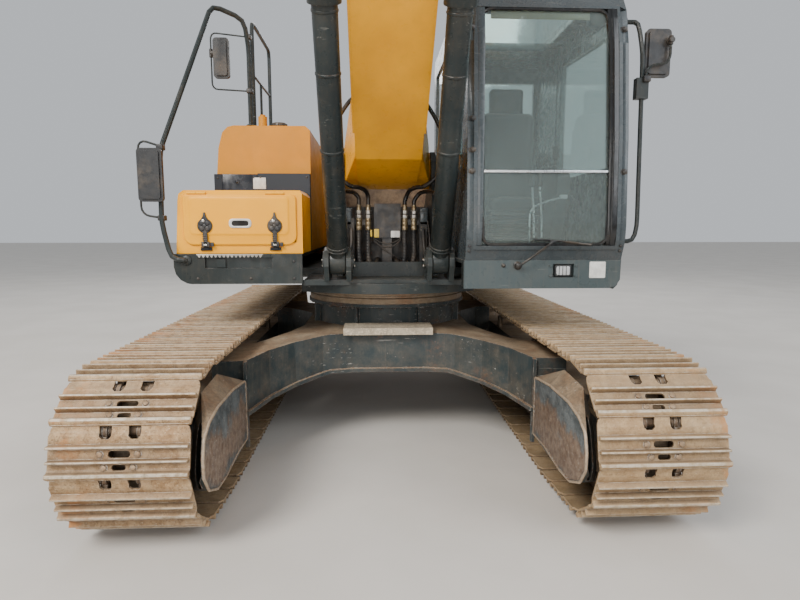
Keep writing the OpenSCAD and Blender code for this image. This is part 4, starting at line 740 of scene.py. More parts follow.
def build_track(name, node, x):
    shoe, link = shoe_template(), link_template()
    s = Shape()
    for k in range(SHOES):
        u, z, a = on_path((k + 0.5) * STOPS[-1] / SHOES)
        # along the track is forward at heading 0, and outward is up
        fwd = Vector((0, -math.cos(a), math.sin(a)))
        out = Vector((0, math.sin(a), math.cos(a)))
        wob = random.uniform(-0.0012, 0.0012)
        m = Matrix(((1, 0, 0, x + wob), (0, fwd.y, out.y, TRACK_Y - u / 1000), (0, fwd.z, out.z, z / 1000),
                    (0, 0, 0, 1)))
        for me in (shoe, link):
            n = len(s.bm.verts)
            s.bm.from_mesh(me)
            s.bm.verts.ensure_lookup_table()
            for v in s.bm.verts[n:]:
                v.co = m @ v.co
    for me in (shoe, link):
        bpy.data.meshes.remove(me)
    s.make(name, SHOE_MATS, STEEL, 35, (node,), "undercarriage")


build_track("track_shoes_left", "track_left", GAUGE_X)
build_track("track_shoes_right", "track_right", -GAUGE_X)

# Pins of the working arm, as part.scad places them
FOOT = (300.0, 1900.0)
BOOM_A = 14.8
ARM_A = -49.1


def away(p, a, d):
    """The point at distance d from p, at an angle in degrees."""
    return around(p[0], p[1], d, [a])[0]


def carried(x, origin, a, p):
    """Frame place in mm of a point given in a turned piece's own plane."""
    c, s = around(0, 0, 1, [a])[0]
    return (x, origin[0] + p[0] * c - p[1] * s, origin[1] + p[0] * s + p[1] * c)


def boom3(x, p):
    return carried(x, FOOT, BOOM_A, p)


ARM_PIN = boom3(0, (5680, 0))[1:]
LIFT_FOOT = (900.0, 1255.0)
LIFT_PIN = boom3(0, away((0, 0), 24, 2450))[1:]
LIFT_A = math.degrees(math.atan2(LIFT_PIN[1] - LIFT_FOOT[1], LIFT_PIN[0] - LIFT_FOOT[0]))
LIFT_X = 335


def arm3(x, p):
    return carried(x, ARM_PIN, ARM_A, p)


def lift3(x, a, h):
    return carried(x, LIFT_FOOT, LIFT_A, (a, h))


# Hoses and fittings: the first points of a hose leave the valve, the last ones enter its far end
FIT_X = [-208, -140, 128, 196]
RISER = [(446, 1645), (446, 1668)]
piece = Shape()
for x in FIT_X:
    d = 1 if x < 0 else -1
    pts = [(x, 446, 1462), (x, 446, 1438), (x, 458, 1396), (x, 478, 1300), (x + d * 8, 486, 1232),
           (x + d * 34, 466, 1202), (x + d * 58, 420, 1222), (x + d * 66, 340, 1232),
           (x + d * 68, 240, 1234), (x + d * 68, 221, 1234)]
    piece.sweep(spline(pts, 3.2), 17.4, 20, ridge=(2.0, 22))
piece.make("swivel_hoses", "rubber", smooth=50, replaces=("boom_hoses",))


def blended(name, hoses, r, replaces):
    """Hoses that stretch between two bodies."""
    s = Shape()
    for pts in hoses:
        s.sweep(spline(pts, 9), r, 14)
    ob = s.make(name, "rubber_smooth", smooth=50, replaces=(replaces,), body=None)
    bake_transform(ob)


BOOM_END, BOOM_END_A = (500, 441), 32.2
hoses = []
for d, x in ((-1, FIT_X[1]), (1, FIT_X[2])):
    hoses.append([(x, *p) for p in RISER]
                 + [(d * a, u, z) for a, u, z in ((140, 448, 1705), (160, 478, 1745), (205, 530, 1765),
                                                  (262, 572, 1772), (338, 602, 1830), (390, 585, 1930),
                                                  (400, 525, 2060), (370, 500, 2200), (270, 535, 2350))]
                 + [boom3(d * a, away(BOOM_END, BOOM_END_A, w))
                    for a, w in ((190, -90), (185, -30), (185, -1))])
blended("boom_feed_hoses", hoses, 15, "boom_hoses")

hoses = []
for d, x in ((-1, FIT_X[0]), (1, FIT_X[3])):
    hoses.append([(x, *p) for p in RISER]
                 + [(d * a, u, z) for a, u, z in ((212, 448, 1700), (245, 468, 1732), (300, 535, 1736),
                                                  (335, 660, 1712), (335, 800, 1670))]
                 + [lift3(d * LIFT_X, 307, h) for h in (170, 125, 109)])
blended("lift_cylinder_hoses", hoses, 15, "boom_hoses")

TIP_END, TIP_END_A = (4900, 499), -24.73
ARM_END, ARM_END_A = (240, 330), -11.3
hoses = [[boom3(d * 185, away(TIP_END, TIP_END_A, w)) for w in (1, 40)]
         + [boom3(d * a, p) for a, p in ((187, (5080, 432)), (190, (5330, 420)), (190, (5620, 470)),
                                         (185, (5900, 440)))]
         + [arm3(d * 172, (80, 370))] + [arm3(d * 168, away(ARM_END, ARM_END_A, w)) for w in (-40, -1)]
         for d in (-1, 1)]
blended("arm_feed_hoses", hoses, 14, "arm_hoses")

# sleeves and nuts of the four hose ends
piece = Shape()
for x in FIT_X:
    piece.mat = 0
    piece.turn(x, 446, 1455, UP, [(6, 20.5), (9, 22), (30, 22), (32, 20.8), (38, 20.8), (40, 22), (62, 22),
                                  (64, 20.8), (70, 20.8), (72, 22), (88, 22), (92, 20)], 28)
    piece.mat = 1
    for z, r, h in ((1547, 25.6, 27), (1577, 22.8, 28)):
        piece.loft([[P(*p, z + k) for p in around(x, 446, r * f, even(6))]
                    for k, f in ((0, 0.9), (2, 1.0), (h - 2, 1.0), (h, 0.9))], 0.6)
    piece.mat = 0
    piece.turn(x, 446, 1455, UP, [(149, 15), (151, 17.6), (166, 17.6), (168, 16.6), (172, 16.6),
                                  (174, 17.6), (190, 17.6), (192, 15.4)], 24)
piece.make("hose_fittings", "fitting zinc", STEEL)

# thin cables in front of the swivel, and ties beside the lift cylinders
piece = Shape()
cables = [([(-98, 452, 1398), (-50, 462, 1372), (0, 466, 1362), (50, 462, 1372), (98, 452, 1400)], 4, 10),
          ([(-98, 450, 1384), (-50, 466, 1346), (10, 470, 1338), (60, 464, 1352), (98, 450, 1390)], 5, 10),
          ([(-98, 448, 1376), (-40, 466, 1330), (20, 472, 1290), (70, 470, 1262), (110, 462, 1236)],
           3.5, 10)]
for d in (-1, 1):
    for pts, r, n in (([(292, 498, 1530), (300, 540, 1440), (296, 580, 1340), (262, 560, 1262),
                        (240, 520, 1215)], 5, 10),
                      ([(262, 486, 1470), (262, 520, 1380), (268, 540, 1290), (262, 500, 1200)], 12, 14)):
        cables.append(([(d * a, u, z) for a, u, z in pts], r, n))
for pts, r, n in cables:
    piece.sweep(spline(pts, 8), r, n)
piece.make("small_cables", "rubber", smooth=50)

# Toolbox, tanks and deck
LID = (-1331, -603, 1366, 1692)
piece = Shape()
rings = []
for left, right, down, high, r_low, r_high, u in (
        (3, 3, 3, 3, 58, 32, 881), (0, 0, 0, 0, 62, 34, 883), (0, 0, 0, 0, 62, 34, 888),
        (1.5, 1.5, 1.5, 1.5, 61, 33, 891), (5, 5, 5, 5, 58, 31, 893), (11, 11, 11, 11, 54, 28, 893.6),
        (36, 43, 60, 14, 34, 24, 894), (39, 46, 63, 17, 33, 23, 895), (45, 52, 69, 23, 30, 20, 898.6),
        (50, 57, 74, 28, 27, 18, 899.6), (60, 67, 84, 38, 22, 16, 899.9)):
    outline = rounded(LID[0] + left, LID[1] - right, LID[2] + down, LID[3] - high, r_high, 8, r_low)
    rings.append([P(x, u, z) for x, z in outline])
piece.loft(rings)
piece.slab((-1310, -615, 1388, 1656, 12), 868, 882, 3)
for x in (-1239.7, -739.7):
    piece.rod(P(x, 890, 1700), P(x + 60, 890, 1700), 9.8, 20, 1.5)
    piece.box(x, x + 60, 882, 889, 1670, 1702, 1.5)
piece.make("lid_skin", "yellow", YELLOW, 35, ("toolbox_lid",), "toolbox_lid")

piece = Shape()
for x in (-1190, -743):
    piece.mat = 0
    piece.turn(x, 899, 1490, FRONT, [(0, 47), (5, 48), (9, 46), (11, 41), (11.5, 36)], 40)
    # four lobes and the hub of the wing grip
    for a, b in around(x, 1490, 25, even(4, 45)):
        piece.turn(a, 909, b, FRONT, [(0, 16), (3, 16), (5, 14), (6.5, 9)], 18)
    piece.turn(x, 909, 1490, FRONT, [(0, 12), (4, 12), (6.5, 8)], 20)
    piece.prism([(x - 26, 1524), (x + 26, 1524), (x + 9, 1552), (x + 5, 1576), (x - 5, 1576),
                 (x - 9, 1552)], 900, 912, bevel=2)
    piece.box(x - 13, x + 13, 895.5, 908, 1354, 1462, 3)
    for z in (1396, 1408, 1420, 1432, 1444):
        piece.slab((x - 16, x + 16, z, z + 7, 3), 897, 912, 1)
    piece.slab((x - 27, x + 27, 1353, 1388, 6), 895, 908, 3)
    piece.slab((x + 31, x + 52, 1356, 1384, 4), 893, 905, 2)
    piece.mat = 1
    piece.turn(x - 8, 910, 1522, FRONT, [(0, 11), (3, 11), (5, 7), (5.8, 2)], 18)
    piece.slab((x - 12, x + 12, 1360, 1374, 4), 907, 914, 2)
piece.make("lid_latches", "black zinc", body="toolbox_lid")

# the pull: a pale ring round a hollow, whose floor is a near-black plate of painted shade
PULL = Vector((-964, 1506))


def ring_out(pts, d):
    """Where a line from the pull's middle along d leaves an outline."""
    best = 0.0
    for i in range(len(pts)):
        p = Vector(pts[i]) - PULL
        e = Vector(pts[(i + 1) % len(pts)]) - PULL - p
        den = d.x * e.y - d.y * e.x
        if abs(den) > 1e-9 and -1e-6 <= (p.x * d.y - p.y * d.x) / den <= 1 + 1e-6:
            best = max(best, (p.x * e.y - p.y * e.x) / den)
    return PULL + d * best


piece = Shape()
outer = rounded(-1036, -892, 1476, 1536, 24, 6)
inner = rounded(-1018, -910, 1489, 1523, 14, 6)
rings = []
for way in around(0, 0, 1, even(72)):
    big, small = [ring_out(outline, Vector(way)) for outline in (outer, inner)]
    mid = (big + small) / 2
    rings.append([P(p.x, u, p.y) for p, u in ((big, 896), (big, 904), (mid, 907.5), (small, 904),
                                              (small, 896))])
piece.loft(rings, closed=True)
# the hollow's floor: near-black painted shade
piece.mat = 1
piece.prism(inner, 896, 900.4, bevel=0)
piece.make("lid_pull", "pale void", YELLOW, body="toolbox_lid")

# cap of the tank and small bolts
piece = Shape()
piece.turn(-820, 120, 2246, UP, [(0, 56), (3, 57), (26, 55), (31, 50), (33, 20), (33.5, 0)], 40)
for x, u in around(-820, 120, 57, even(12)):
    piece.rod(P(x, u, 2249), P(x, u, 2271), 3.5, 10)
piece.nuts([(x, 393.5, z) for x, z in ((-1232, 1840), (-972, 1840), (-1232, 1380), (-972, 1380))],
           FRONT, 7, 6)
piece.nuts([(x, 397.5, z) for x, z in ((-924, 1846), (-588, 1846), (-924, 1360), (-588, 1360))],
           FRONT, 7, 6)
piece.nuts([(x, 929.5, z) for x, z in ((-1330, 1250), (-1240, 1150), (-900, 1150), (-620, 1150),
                                       (-620, 1262))], FRONT, 8, 7)
piece.make("deck_fasteners", "black", DARK)

piece = Shape()
piece.turn(-915, -290, 2224, UP, [(0, 35), (4, 36), (6, 33.5), (60, 33.5), (62, 36), (70, 36), (73, 30),
                                  (78, 22), (80, 0.1)], 36)
piece.make("sight_cylinder", "amber", ORANGE)

piece = Shape()
piece.turn(-1092, 396, 1812, FRONT, [(0, 16), (2, 17), (5, 15), (6, 8), (12, 8), (13, 9), (16, 6)], 24)
piece.slab((-1204, -979, 1440, 1866, 14), 393.8, 397)
piece.make("front_box_lid", "box_black", DARK)
piece = Shape()
piece.slab((-977, -886, 1760, 1842, 4), 397.6, 399.4, 0.4)
piece.slab((1216, 1316, 1172, 1272, 5), 1240.1, 1241.4, 0.4)
piece.make("blank_pale_plates", "pale", DARK)
piece = Shape()
piece.slab((-98, -62, 1408, 1470, 3), 448.1, 449.6, 0.4)
piece.slab((-126, -112, 1412, 1464, 3), 458, 459.5, 0.4)
piece.mat = 1
piece.slab((26, 92, 1408, 1456, 3), 448.1, 449.6, 0.4)
piece.make("blank_tags", "tag_yellow pale")

# front lamp in the panel under the cab
piece = Shape()
piece.slab((1004, 1106, 1182, 1252, 12), 1222, 1234, 3)
piece.mat = 1
piece.slab((1014, 1096, 1190, 1244, 9), 1233, 1238, 2)
piece.mat = 0
for x in (1030, 1052, 1074):
    piece.box(x - 2, x + 2, 1237, 1239.5, 1190, 1244, 0.8)
piece.make("panel_lamp", "black lens")

# work lamps on the boom
piece = Shape()
for x in (-262, 262):
    back, face, front = [P(*boom3(x, (a, 1308))) for a in (2640, 2648, 2700)]
    piece.mat = 0
    piece.lathe(back, front, [(0, 44), (3, 46), (8, 46), (10, 42)], 36)
    piece.mat = 1
    piece.lathe(face, front, [(0, 38), (3, 36), (6, 28), (8, 12), (8.5, 0.1)], 36)
piece.make("boom_lamps", "black lens", ORANGE, body="boom")

# worn teeth along the skirt's edge
piece = Shape()
for x in range(-1236, -1236 + 16 * 26, 26):
    piece.prism([(x, 1304), (x + 25, 1304), (x + 16, 1287), (x + 10, 1287)], 937.2, 938.6, bevel=0.4,
                segments=1)
piece.slab((-1243, -816, 1303, 1309, 2), 937.2, 938.8, 0.5)
piece.make("skirt_grip_edge", "pale_worn", DARK)

# side cylinders, blocks and brass unions beside the swivel hoses
piece = Shape()
for x in (-292, 268):
    piece.mat = 0
    piece.box(x - 30, x + 30, 425, 470, 1500, 1622, 5, 3)
    piece.box(x - 26, x + 26, 466, 474, 1520, 1600, 3)
    piece.rod(P(x - 14, 450, 1180), P(x - 14, 450, 1440), 14, 24, 2)
    piece.rod(P(x + 16, 452, 1180), P(x + 16, 452, 1440), 10, 24, 2)
    piece.mat = 1
    piece.nuts([(x - 14, 450, z) for z in (1438, 1462, 1482)], UP, 21, 15, 0.1)
    piece.nuts([(x + 16, 452, z) for z in (1446, 1478)], UP, 16, 14, 0.1)
piece.make("side_valve_blocks", "cab fitting", DARK)

# the two lift cylinders' barrels, with weld beads, gland bolts and oil pipes
piece = Shape()
# the rod shows over 843 mm as parked
LEN = math.dist(LIFT_FOOT, LIFT_PIN) - 843
for side_x in (-LIFT_X, LIFT_X):
    def on(a, h=0.0, dx=0.0, x=side_x):
        """The point a mm up the cylinder, h off its line and dx sideways."""
        return P(*lift3(x + dx, a, h))

    a, b = on(0), on(LEN)
    piece.mat = 0
    piece.lathe(on(0, dx=-53.5), on(0, dx=53.5), [(0, 76), (3, 80), (7, 81.5), (100, 81.5), (104, 80),
                                                  (107, 76)], 48)
    piece.lathe(a, b, [(60, 50), (62, 58), (96, 60), (104, 66), (LEN * 0.5, 66), (LEN - 172, 66),
                       (LEN - 170, 84), (LEN - 166, 86), (LEN - 56, 86), (LEN - 52, 82), (LEN - 51, 78),
                       (LEN - 2, 78), (LEN, 75)], 56)
    for s0, w in ((118, 15), (LEN * 0.45, 17), (LEN * 0.7, 15), (LEN - 210, 15)):
        piece.lathe(on(s0), b, [(0, 65), (w * 0.15, 69), (w * 0.5, 70), (w * 0.85, 69), (w, 65)], 48)
    # a rolled weld bead where the tube meets its foot
    for h, dx in around(0, 0, 66, even(44)):
        q = on(105, h, dx)
        piece.lathe(q - SIDE * 0.006, q + SIDE * 0.006, [(0, 2), (3, 5), (9, 5), (12, 2)], 8)
    for h, dx in around(0, 0, 68, even(8, 22.5)):
        piece.nut(on(LEN - 4, h, dx), (b - a).normalized(), 9, 9)
    # oil pipe on the upper side, and its clamps
    reach = [320 + k * 60 for k in range(12) if 320 + k * 60 < LEN - 190]
    piece.sweep([on(285, 60), on(285, 84), on(296, 94)] + [on(s0, 96) for s0 in reach + [LEN - 178]]
                + [on(LEN - 150, 100)], 9.5, 16)
    for s0, w0, w1, h0, h1, half, bevel in ((LEN * 0.45, -18, 18, 62, 108, 15, 5),
                                            (LEN * 0.7, -18, 18, 62, 108, 15, 5),
                                            (LEN - 140, 0, 46, 60, 106, 20, 4),
                                            (262, 0, 46, 60, 106, 20, 4)):
        rows = [on(s0 + e, h, w) for e in (w0, w1) for h in (h0, h1) for w in (-half, half)]
        piece.join(rows, BOX_FACES, bevel)
        if w0:
            piece.nut(on(s0, 108), (on(s0, 200) - on(s0)).normalized(), 8, 6)
    piece.mat = 1
    piece.lathe(on(LEN - 1), on(LEN + 40), [(0, 52), (3, 54), (7, 53), (9, 47)], 40)
piece.make("lift_cylinder_barrels", "dark rubber", DARK, 40, ("boom_barrels",), "boom_barrels")

# rusty guard plates in the track frames' cups, with a rolled rim round each
GUARD = [(-452, -172), (-243, -162), (11, -187), (164, -180), (294, -125), (357, -39), (358, 40),
         (333, 125), (250, 173), (105, 200), (-185, 200), (-452, 171)]
piece = Shape()
pts = [Vector(p) + Vector((IDLER_U + 60, AXLE_Z)) for p in GUARD]
mid = sum(pts, Vector((0, 0))) / len(pts)
for d in (-1, 1):
    piece.mat = 0
    piece.prism([p + (mid - p).normalized() * 12 for p in pts], d * 841.5, d * 843.5, "uz", 0.6)
    piece.mat = 1
    loop = resample([P(d * 845, *p) for p in pts + [pts[0]]], 16)[:-1]
    piece.border(loop + loop[-1:], SIDE, around(0, 0, 7, even(8)))
piece.make("idler_guard_faces", "guard guard_rim", STEEL, body="undercarriage")


# Cab outside
def cab_line(z):
    """How far forward the cab's front stands at a height."""
    pts = [(1282, 1240), (1400, 1285), (1500, 1290), (2000, 1262), (2560, 1200), (2760, 1150), (2870, 1080)]
    for (z0, u0), (z1, u1) in zip(pts, pts[1:]):
        if z <= z1:
            return u0 + (u1 - u0) * (z - z0) / (z1 - z0)
    return 1080


# the shell and its panes, drawn again with the windshield's upper edge where the photograph has it
RAISE = 0.075


def raised(name, node, mat, slot, smooth):
    """A node's mesh as a piece, with the windshield's upper edge moved up along the cab's front."""
    bm = bmesh.new()
    src = bpy.data.objects[node]
    bm.from_mesh(src.data)
    bmesh.ops.transform(bm, matrix=src.matrix_world, verts=bm.verts)
    for v in bm.verts:
        if SWING_Y - v.co.y > 1.0 and 2.675 < v.co.z < 2.72:
            shift = cab_line((v.co.z + RAISE) * 1000) - cab_line(v.co.z * 1000)
            v.co.z += RAISE
            v.co.y -= shift / 1000
    bmesh.ops.remove_doubles(bm, verts=bm.verts, dist=0.00002)
    for f in bm.faces:
        f.smooth = False
    s = Shape()
    s.take(bm)
    s.make(name, mat, slot, smooth, (node,))


raised("cab_skin", "cab_shell", "cab", DARK, 12)
raised("cab_panes", "cab_glass", "glass", "window", 0)

# upright bars beside the pane: the first one leans outward with height
BAR_Z, BAR_HEIGHT = 1372, 1394
piece = Shape()
for mat, x0, x1, lean, back, face, bevel in ((0, 509, 540, 20, -9, 5, 3), (1, 1292, 1351, 0, -9, 7, 5),
                                             (1, 1312, 1330, 0, 6, 12, 3)):
    piece.mat = mat
    rings = []
    for k in range(23):
        z = BAR_Z + BAR_HEIGHT * k / 22
        right = x1 + lean * k / 22
        rings.append([P(x, cab_line(z) + d, z) for x, d in ((x0, back), (x0, face), (right, face),
                                                            (right, back))])
    piece.loft(rings, bevel)
piece.make("windshield_frame", "cab gloss_black", DARK)

piece = Shape()
line = [P(x, cab_line(z) - 7, z) for x, z in rounded(548, 1296, 1378, 2758, 50, 6)]
piece.border(resample(line + [line[0]], 22), FRONT, [(-9, -3), (-9, 5), (-5, 9), (5, 9), (9, 5), (9, -3)],
             True)
piece.make("windshield_seal", "gloss_black")

piece = Shape()
piece.box(548, 1296, cab_line(1807) - 12, cab_line(1807) + 1.5, 1799, 1815, 3)
piece.make("pane_divider", "bright", DARK)
piece = Shape()
piece.box(600, 1240, cab_line(2740) - 30, cab_line(2740) - 26, 2706, 2758, 1)
piece.make("sun_strip", "strip")

piece = Shape()
WIPER_Z = 1250
piece.turn(772, 1238, WIPER_Z, FRONT, [(0, 26), (8, 26), (12, 20), (22, 18), (30, 18), (34, 13), (38, 6)],
           28)
piece.sweep(path([(772, 1268, WIPER_Z), (790, 1280, 1262), (880, 1304, 1330), (966, 1306, 1394)], 30),
            7, 12)
piece.sweep(path([(778, 1276, WIPER_Z), (880, 1310, 1336), (960, 1308, 1390)], 20), 3.5, 8)
piece.prism([(940, 1380), (985, 1392), (990, 1404), (950, 1404)], 1297, 1310, bevel=3)
piece.loft([[P(x, cab_line(z) + 3 + a, z + b) for a, b in ((0, -5), (9, -5), (11, 0), (9, 6), (0, 4))]
            for x, z in ((852, 1408), (930, 1403), (1060, 1390), (1204, 1376))])
piece.sweep([P(x, cab_line(z) + 15, z) for x, z in ((900, 1408), (960, 1404), (1120, 1388))], 4, 8)
piece.turn(685, 1238, WIPER_Z, FRONT, [(0, 13), (4, 13), (6, 9), (12, 8), (15, 4)], 20)
piece.make("wiper", "black_metal")

# catches, hinges and bolts on the front frame
piece = Shape()
for x, z in ((480, 2110), (480, 1930), (478, 1808), (1384, 1806), (1384, 2640), (478, 2640)):
    u = cab_line(z)
    piece.turn(x, u - 4, z, FRONT, [(0, 17), (10, 17), (13, 13), (22, 12), (25, 7)], 20)
    piece.box(x - 22, x + 22, u - 2, u + 8, z - 12, z + 12, 3)
piece.nuts([(x, cab_line(z) + 0.5, z) for z in (1370, 1340) for x in (470, 1390)], FRONT, 9, 8)
# wiper motor housing inside the upper corner of the pane
piece.prism(round_off([(1190, 2786), (1290, 2786), (1306, 2760), (1306, 2690), (1270, 2668), (1200, 2684)],
                      18), cab_line(2740) - 90, cab_line(2740) - 22, bevel=6)
piece.make("cab_catches", "black")

piece = Shape()
loop = round_off([(116, 1846), (1064, 1846), (1004, 2564), (954, 2664), (116, 2724)], 40, 5)
pts = resample([P(1409.5, u, z) for u, z in loop + loop[:1]], 20)
piece.border(pts, SIDE, [(-9, -5), (-9, 0), (-4, 3.5), (4, 3.5), (9, 0), (9, -5)])
piece.make("door_seal", "rubber", body="cab_door")

# Mirrors and rails
piece = Shape()
piece.slab((-1564, -1426, 1648, 1962, 18), 942.0, 943.8, 0.8)
piece.slab((-1239, -1139, 2558, 2822, 15), 313.0, 314.8, 0.8)
piece.slab((1520, 1656, 2374, 2632, 18), 1178.0, 1179.8, 0.8)
piece.make("mirror_glass", "mirror")
piece = Shape()
for x, u, z in ((-1592, 885, 1845), (-1272, 292, 2735)):
    piece.rod(P(x - 6, u, z), P(x + 30, u, z), 17, 24, 4)
    piece.rod(P(x, u, z - 30), P(x, u, z + 30), 13, 20, 3)
piece.rod(P(1645, 1218, 2566), P(1645, 1258, 2566), 17, 24, 4)
piece.rod(P(1645, 1240, 2540), P(1645, 1240, 2592), 12, 20, 3)
for x, u, z in ((-1450, 886, 1985), (-1454, 908, 1540), (1508, 1232, 2345)):
    piece.box(x - 22, x + 22, u - 26, u + 26, z - 18, z + 18, 6, 3)
for z in (2848, 2470):
    piece.box(-1022, -978, 278, 324, z - 16, z + 16, 6, 3)
piece.make("mirror_clamps", "black")
# flanges at the feet of the rails
piece = Shape()
for u in (300, 170, -120, -520):
    piece.turn(-1000, u, 2222.2, UP, [(0, 34), (6, 34), (8, 30), (9, 21), (14, 19)], 28)
    piece.nuts([(*p, 2228) for p in around(-1000, u, 26, even(4, 45))], UP, 5, 5)
for u, z in ((1130, 2700), (1228, 1396)):
    piece.turn(1410.2, u, z, SIDE, [(0, 27), (6, 27), (9, 20), (12, 16)], 24)
piece.turn(-1308, 930.2, 1268, FRONT, [(0, 33), (7, 33), (10, 27), (13, 19)], 28)
piece.make("rail_feet", "dark", DARK)

# Operator's seat, consoles and controls: all inside the cab
SEAT_X = 985


def cushion(name, half_width, spans, mat, crown=22, pinch=10, seams=()):
    """A crowned pad from spans (middle, u0, u1, z0, z1) as a closed grid: its sides pull in between the
    corners, and the seams, given as shares of its width, sink into the crown."""
    middle, u0, u1, z0, z1 = spans
    centre = (middle, (u0 + u1) / 2, (z0 + z1) / 2)
    bm = bmesh.new()
    bmesh.ops.create_cube(bm, size=2.0)
    bmesh.ops.subdivide_edges(bm, edges=bm.edges[:], cuts=22, use_grid_fill=True)
    half = Vector((half_width, (u1 - u0) / 2, (z1 - z0) / 2))
    edge = min(half) * 0.75
    # the axis across the pad's thickness, and the other one beside its width
    thick = 2 if half.z == min(half) else 1
    tall = 3 - thick
    under = 0.15 if thick == 2 else 0.2
    for v in bm.verts:
        a = Vector([c * h for c, h in zip(v.co, half)])
        core = Vector([max(edge - h, min(h - edge, c)) for c, h in zip(a, half)])
        if (a - core).length > 1e-6:
            a = core + (a - core).normalized() * edge * 0.98
        s = [c / h for c, h in zip(a, half)]
        wide, high = 1 - s[0] * s[0], 1 - s[tall] * s[tall]
        upper = s[thick] > 0
        a[thick] += (crown * wide * high - crown * 0.5) * (1 if upper else under)
        a[tall] -= pinch * s[tall] * wide * 0.6
        a[0] -= pinch * s[0] * high * 0.6
        for seam in seams:
            if upper:
                a[thick] -= 7.0 * math.exp(-((s[0] - seam) * half.x / 7.0) ** 2)
        v.co = P(*[m + max(-h, min(h, c)) for m, h, c in zip(centre, half, a)])
    s = Shape()
    s.take(bm)
    s.make(name, mat, smooth=60, replaces=("operator_seat",))


cushion("seat_cushion", 218, (SEAT_X, -55, 395, 1602, 1714), "fabric", seams=(-0.62, 0.62))
cushion("seat_back", 222, (SEAT_X, -138, 48, 1700, 2400), "fabric", seams=(-0.6, 0.6))
cushion("seat_headrest", 142, (SEAT_X, -140, -30, 2372, 2600), "vinyl", 14, 8)
CONSOLES = {"right": SEAT_X - 318, "left": SEAT_X + 272}
for side, c in CONSOLES.items():
    cushion("arm_pad_" + side, 46, (c, -60, 250, 1905, 1950), "vinyl", 8, 5)

# seat shell, suspension bellows and base
piece = Shape()
piece.prism(round_off([(-185, 1700), (-130, 1690), (-132, 2290), (-190, 2300)], 20), SEAT_X - 200,
            SEAT_X + 200, "uz", 8, 3)
piece.box(SEAT_X - 205, SEAT_X + 205, -70, 360, 1572, 1606, 10, 3)
for k in range(7):
    z = 1352 + k * 32
    f = 1 if k % 2 else 172 / 190
    piece.loft([[P(SEAT_X + x * f, 110 + u * f, z + dz) for x, u in rounded(-190, 190, -190, 190, 40, 4)]
                for dz in (0, 30)], 6)
piece.box(SEAT_X - 200, SEAT_X + 200, -90, 330, 1334, 1356, 4)
for x in (SEAT_X - 60, SEAT_X + 60):
    piece.rod(P(x, -96, 2350), P(x, -92, 2420), 7, 14)
# consoles with their rubber gaiters and joysticks
for c in CONSOLES.values():
    piece.mat = 1
    piece.prism(round_off([(-90, 1560), (-90, 1886), (-60, 1900), (540, 1900), (596, 1850), (596, 1760),
                           (560, 1600), (480, 1500)], 34, 5), c - 50, c + 50, "uz", 12, 3)
    piece.prism(round_off([(-80, 1336), (420, 1336), (520, 1570), (-80, 1570)], 16), c - 46, c + 46, "uz",
                8, 3)
    piece.mat = 2
    for k in range(6):
        r = 46 - k * 5
        piece.lathe(P(c, 375, 1872 + k * 11), P(c, 379, 1972 + k * 11),
                    [(0, r - 5), (4, r), (8, r), (12, r - 6)], 28)
    piece.rod(P(c, 380, 1930), P(c, 385, 2000), 9, 16)
    piece.lathe(P(c, 384, 1985), P(c, 396, 2120), [(0, 14), (6, 22), (22, 24), (50, 21), (72, 24), (84, 27),
                                                   (94, 24), (99, 12)], 28)
    piece.mat = 3
    for x in (c - 9, c + 9):
        piece.lathe(P(x, 406, 2066), P(x, 440, 2076), [(0, 6), (4, 6), (6, 4)], 14)
# travel levers and pedals
for x in (SEAT_X + 12, SEAT_X + 66):
    piece.mat = 3
    piece.sweep(path([(x, 790, 1345), (x, 770, 1560), (x, 700, 1780), (x, 705, 1850)], 40), 8, 14)
    piece.mat = 2
    piece.lathe(P(x, 703, 1760), P(x, 706, 1880), [(0, 14), (6, 19), (50, 17), (92, 20), (102, 14)], 24)
    piece.prism([(735, 1348), (900, 1400), (896, 1412), (731, 1362)], x - 38, x + 38, "uz", 4)
    for k in range(6):
        u, z = 755 + k * 24, 1366 + k * 7.6
        piece.prism([(u, z), (u + 8, z + 2.5), (u + 6.5, z + 8), (u - 1.5, z + 5.5)], x - 33, x + 33,
                    "uz", 1)
piece.make("seat_frame_and_controls", "black grey rubber bright", smooth=45, replaces=("operator_seat",))

# the floor mat, and the lever beside the pane
piece = Shape()
piece.prism(rounded(492, 1352, -300, 1150, 40, 4), 1333.4, 1339, "xu", 2)
for u in range(640, 640 + 14 * 34, 34):
    piece.box(560, 1290, u, u + 14, 1338, 1342, 1.5, 1)
piece.mat = 1
piece.sweep(path([(880, 1098, 1372), (872, 1112, 1480), (874, 1110, 1600), (980, 1106, 1642),
                  (1083, 1104, 1668)], 60), 6, 14)
piece.box(1060, 1108, 1088, 1116, 1655, 1683, 5, 3)
piece.make("cab_floor_mat", "rubber bright", smooth=45)
piece = Shape()
piece.slab((496, 566, 2020, 2210, 12), 930, 985, 6, 3)
piece.mat = 1
piece.slab((505, 557, 2032, 2198, 6), 928.6, 931, 0.5)
piece.mat = 0
piece.sweep(path([(490, 960, 2040), (510, 958, 2100), (530, 958, 2110)], 20), 9, 12)
piece.box(500, 570, 700, 900, 1345, 1700, 16, 4)
piece.slab((505, 565, 1560, 1690, 10), 898, 905, 3)
piece.make("monitor", "black mirror", smooth=45)

# Louvres: slanted blades in the slots, with a near-black sheet behind them as painted shade of the empty
# compartment
HOUSE_TOP = 2150.0


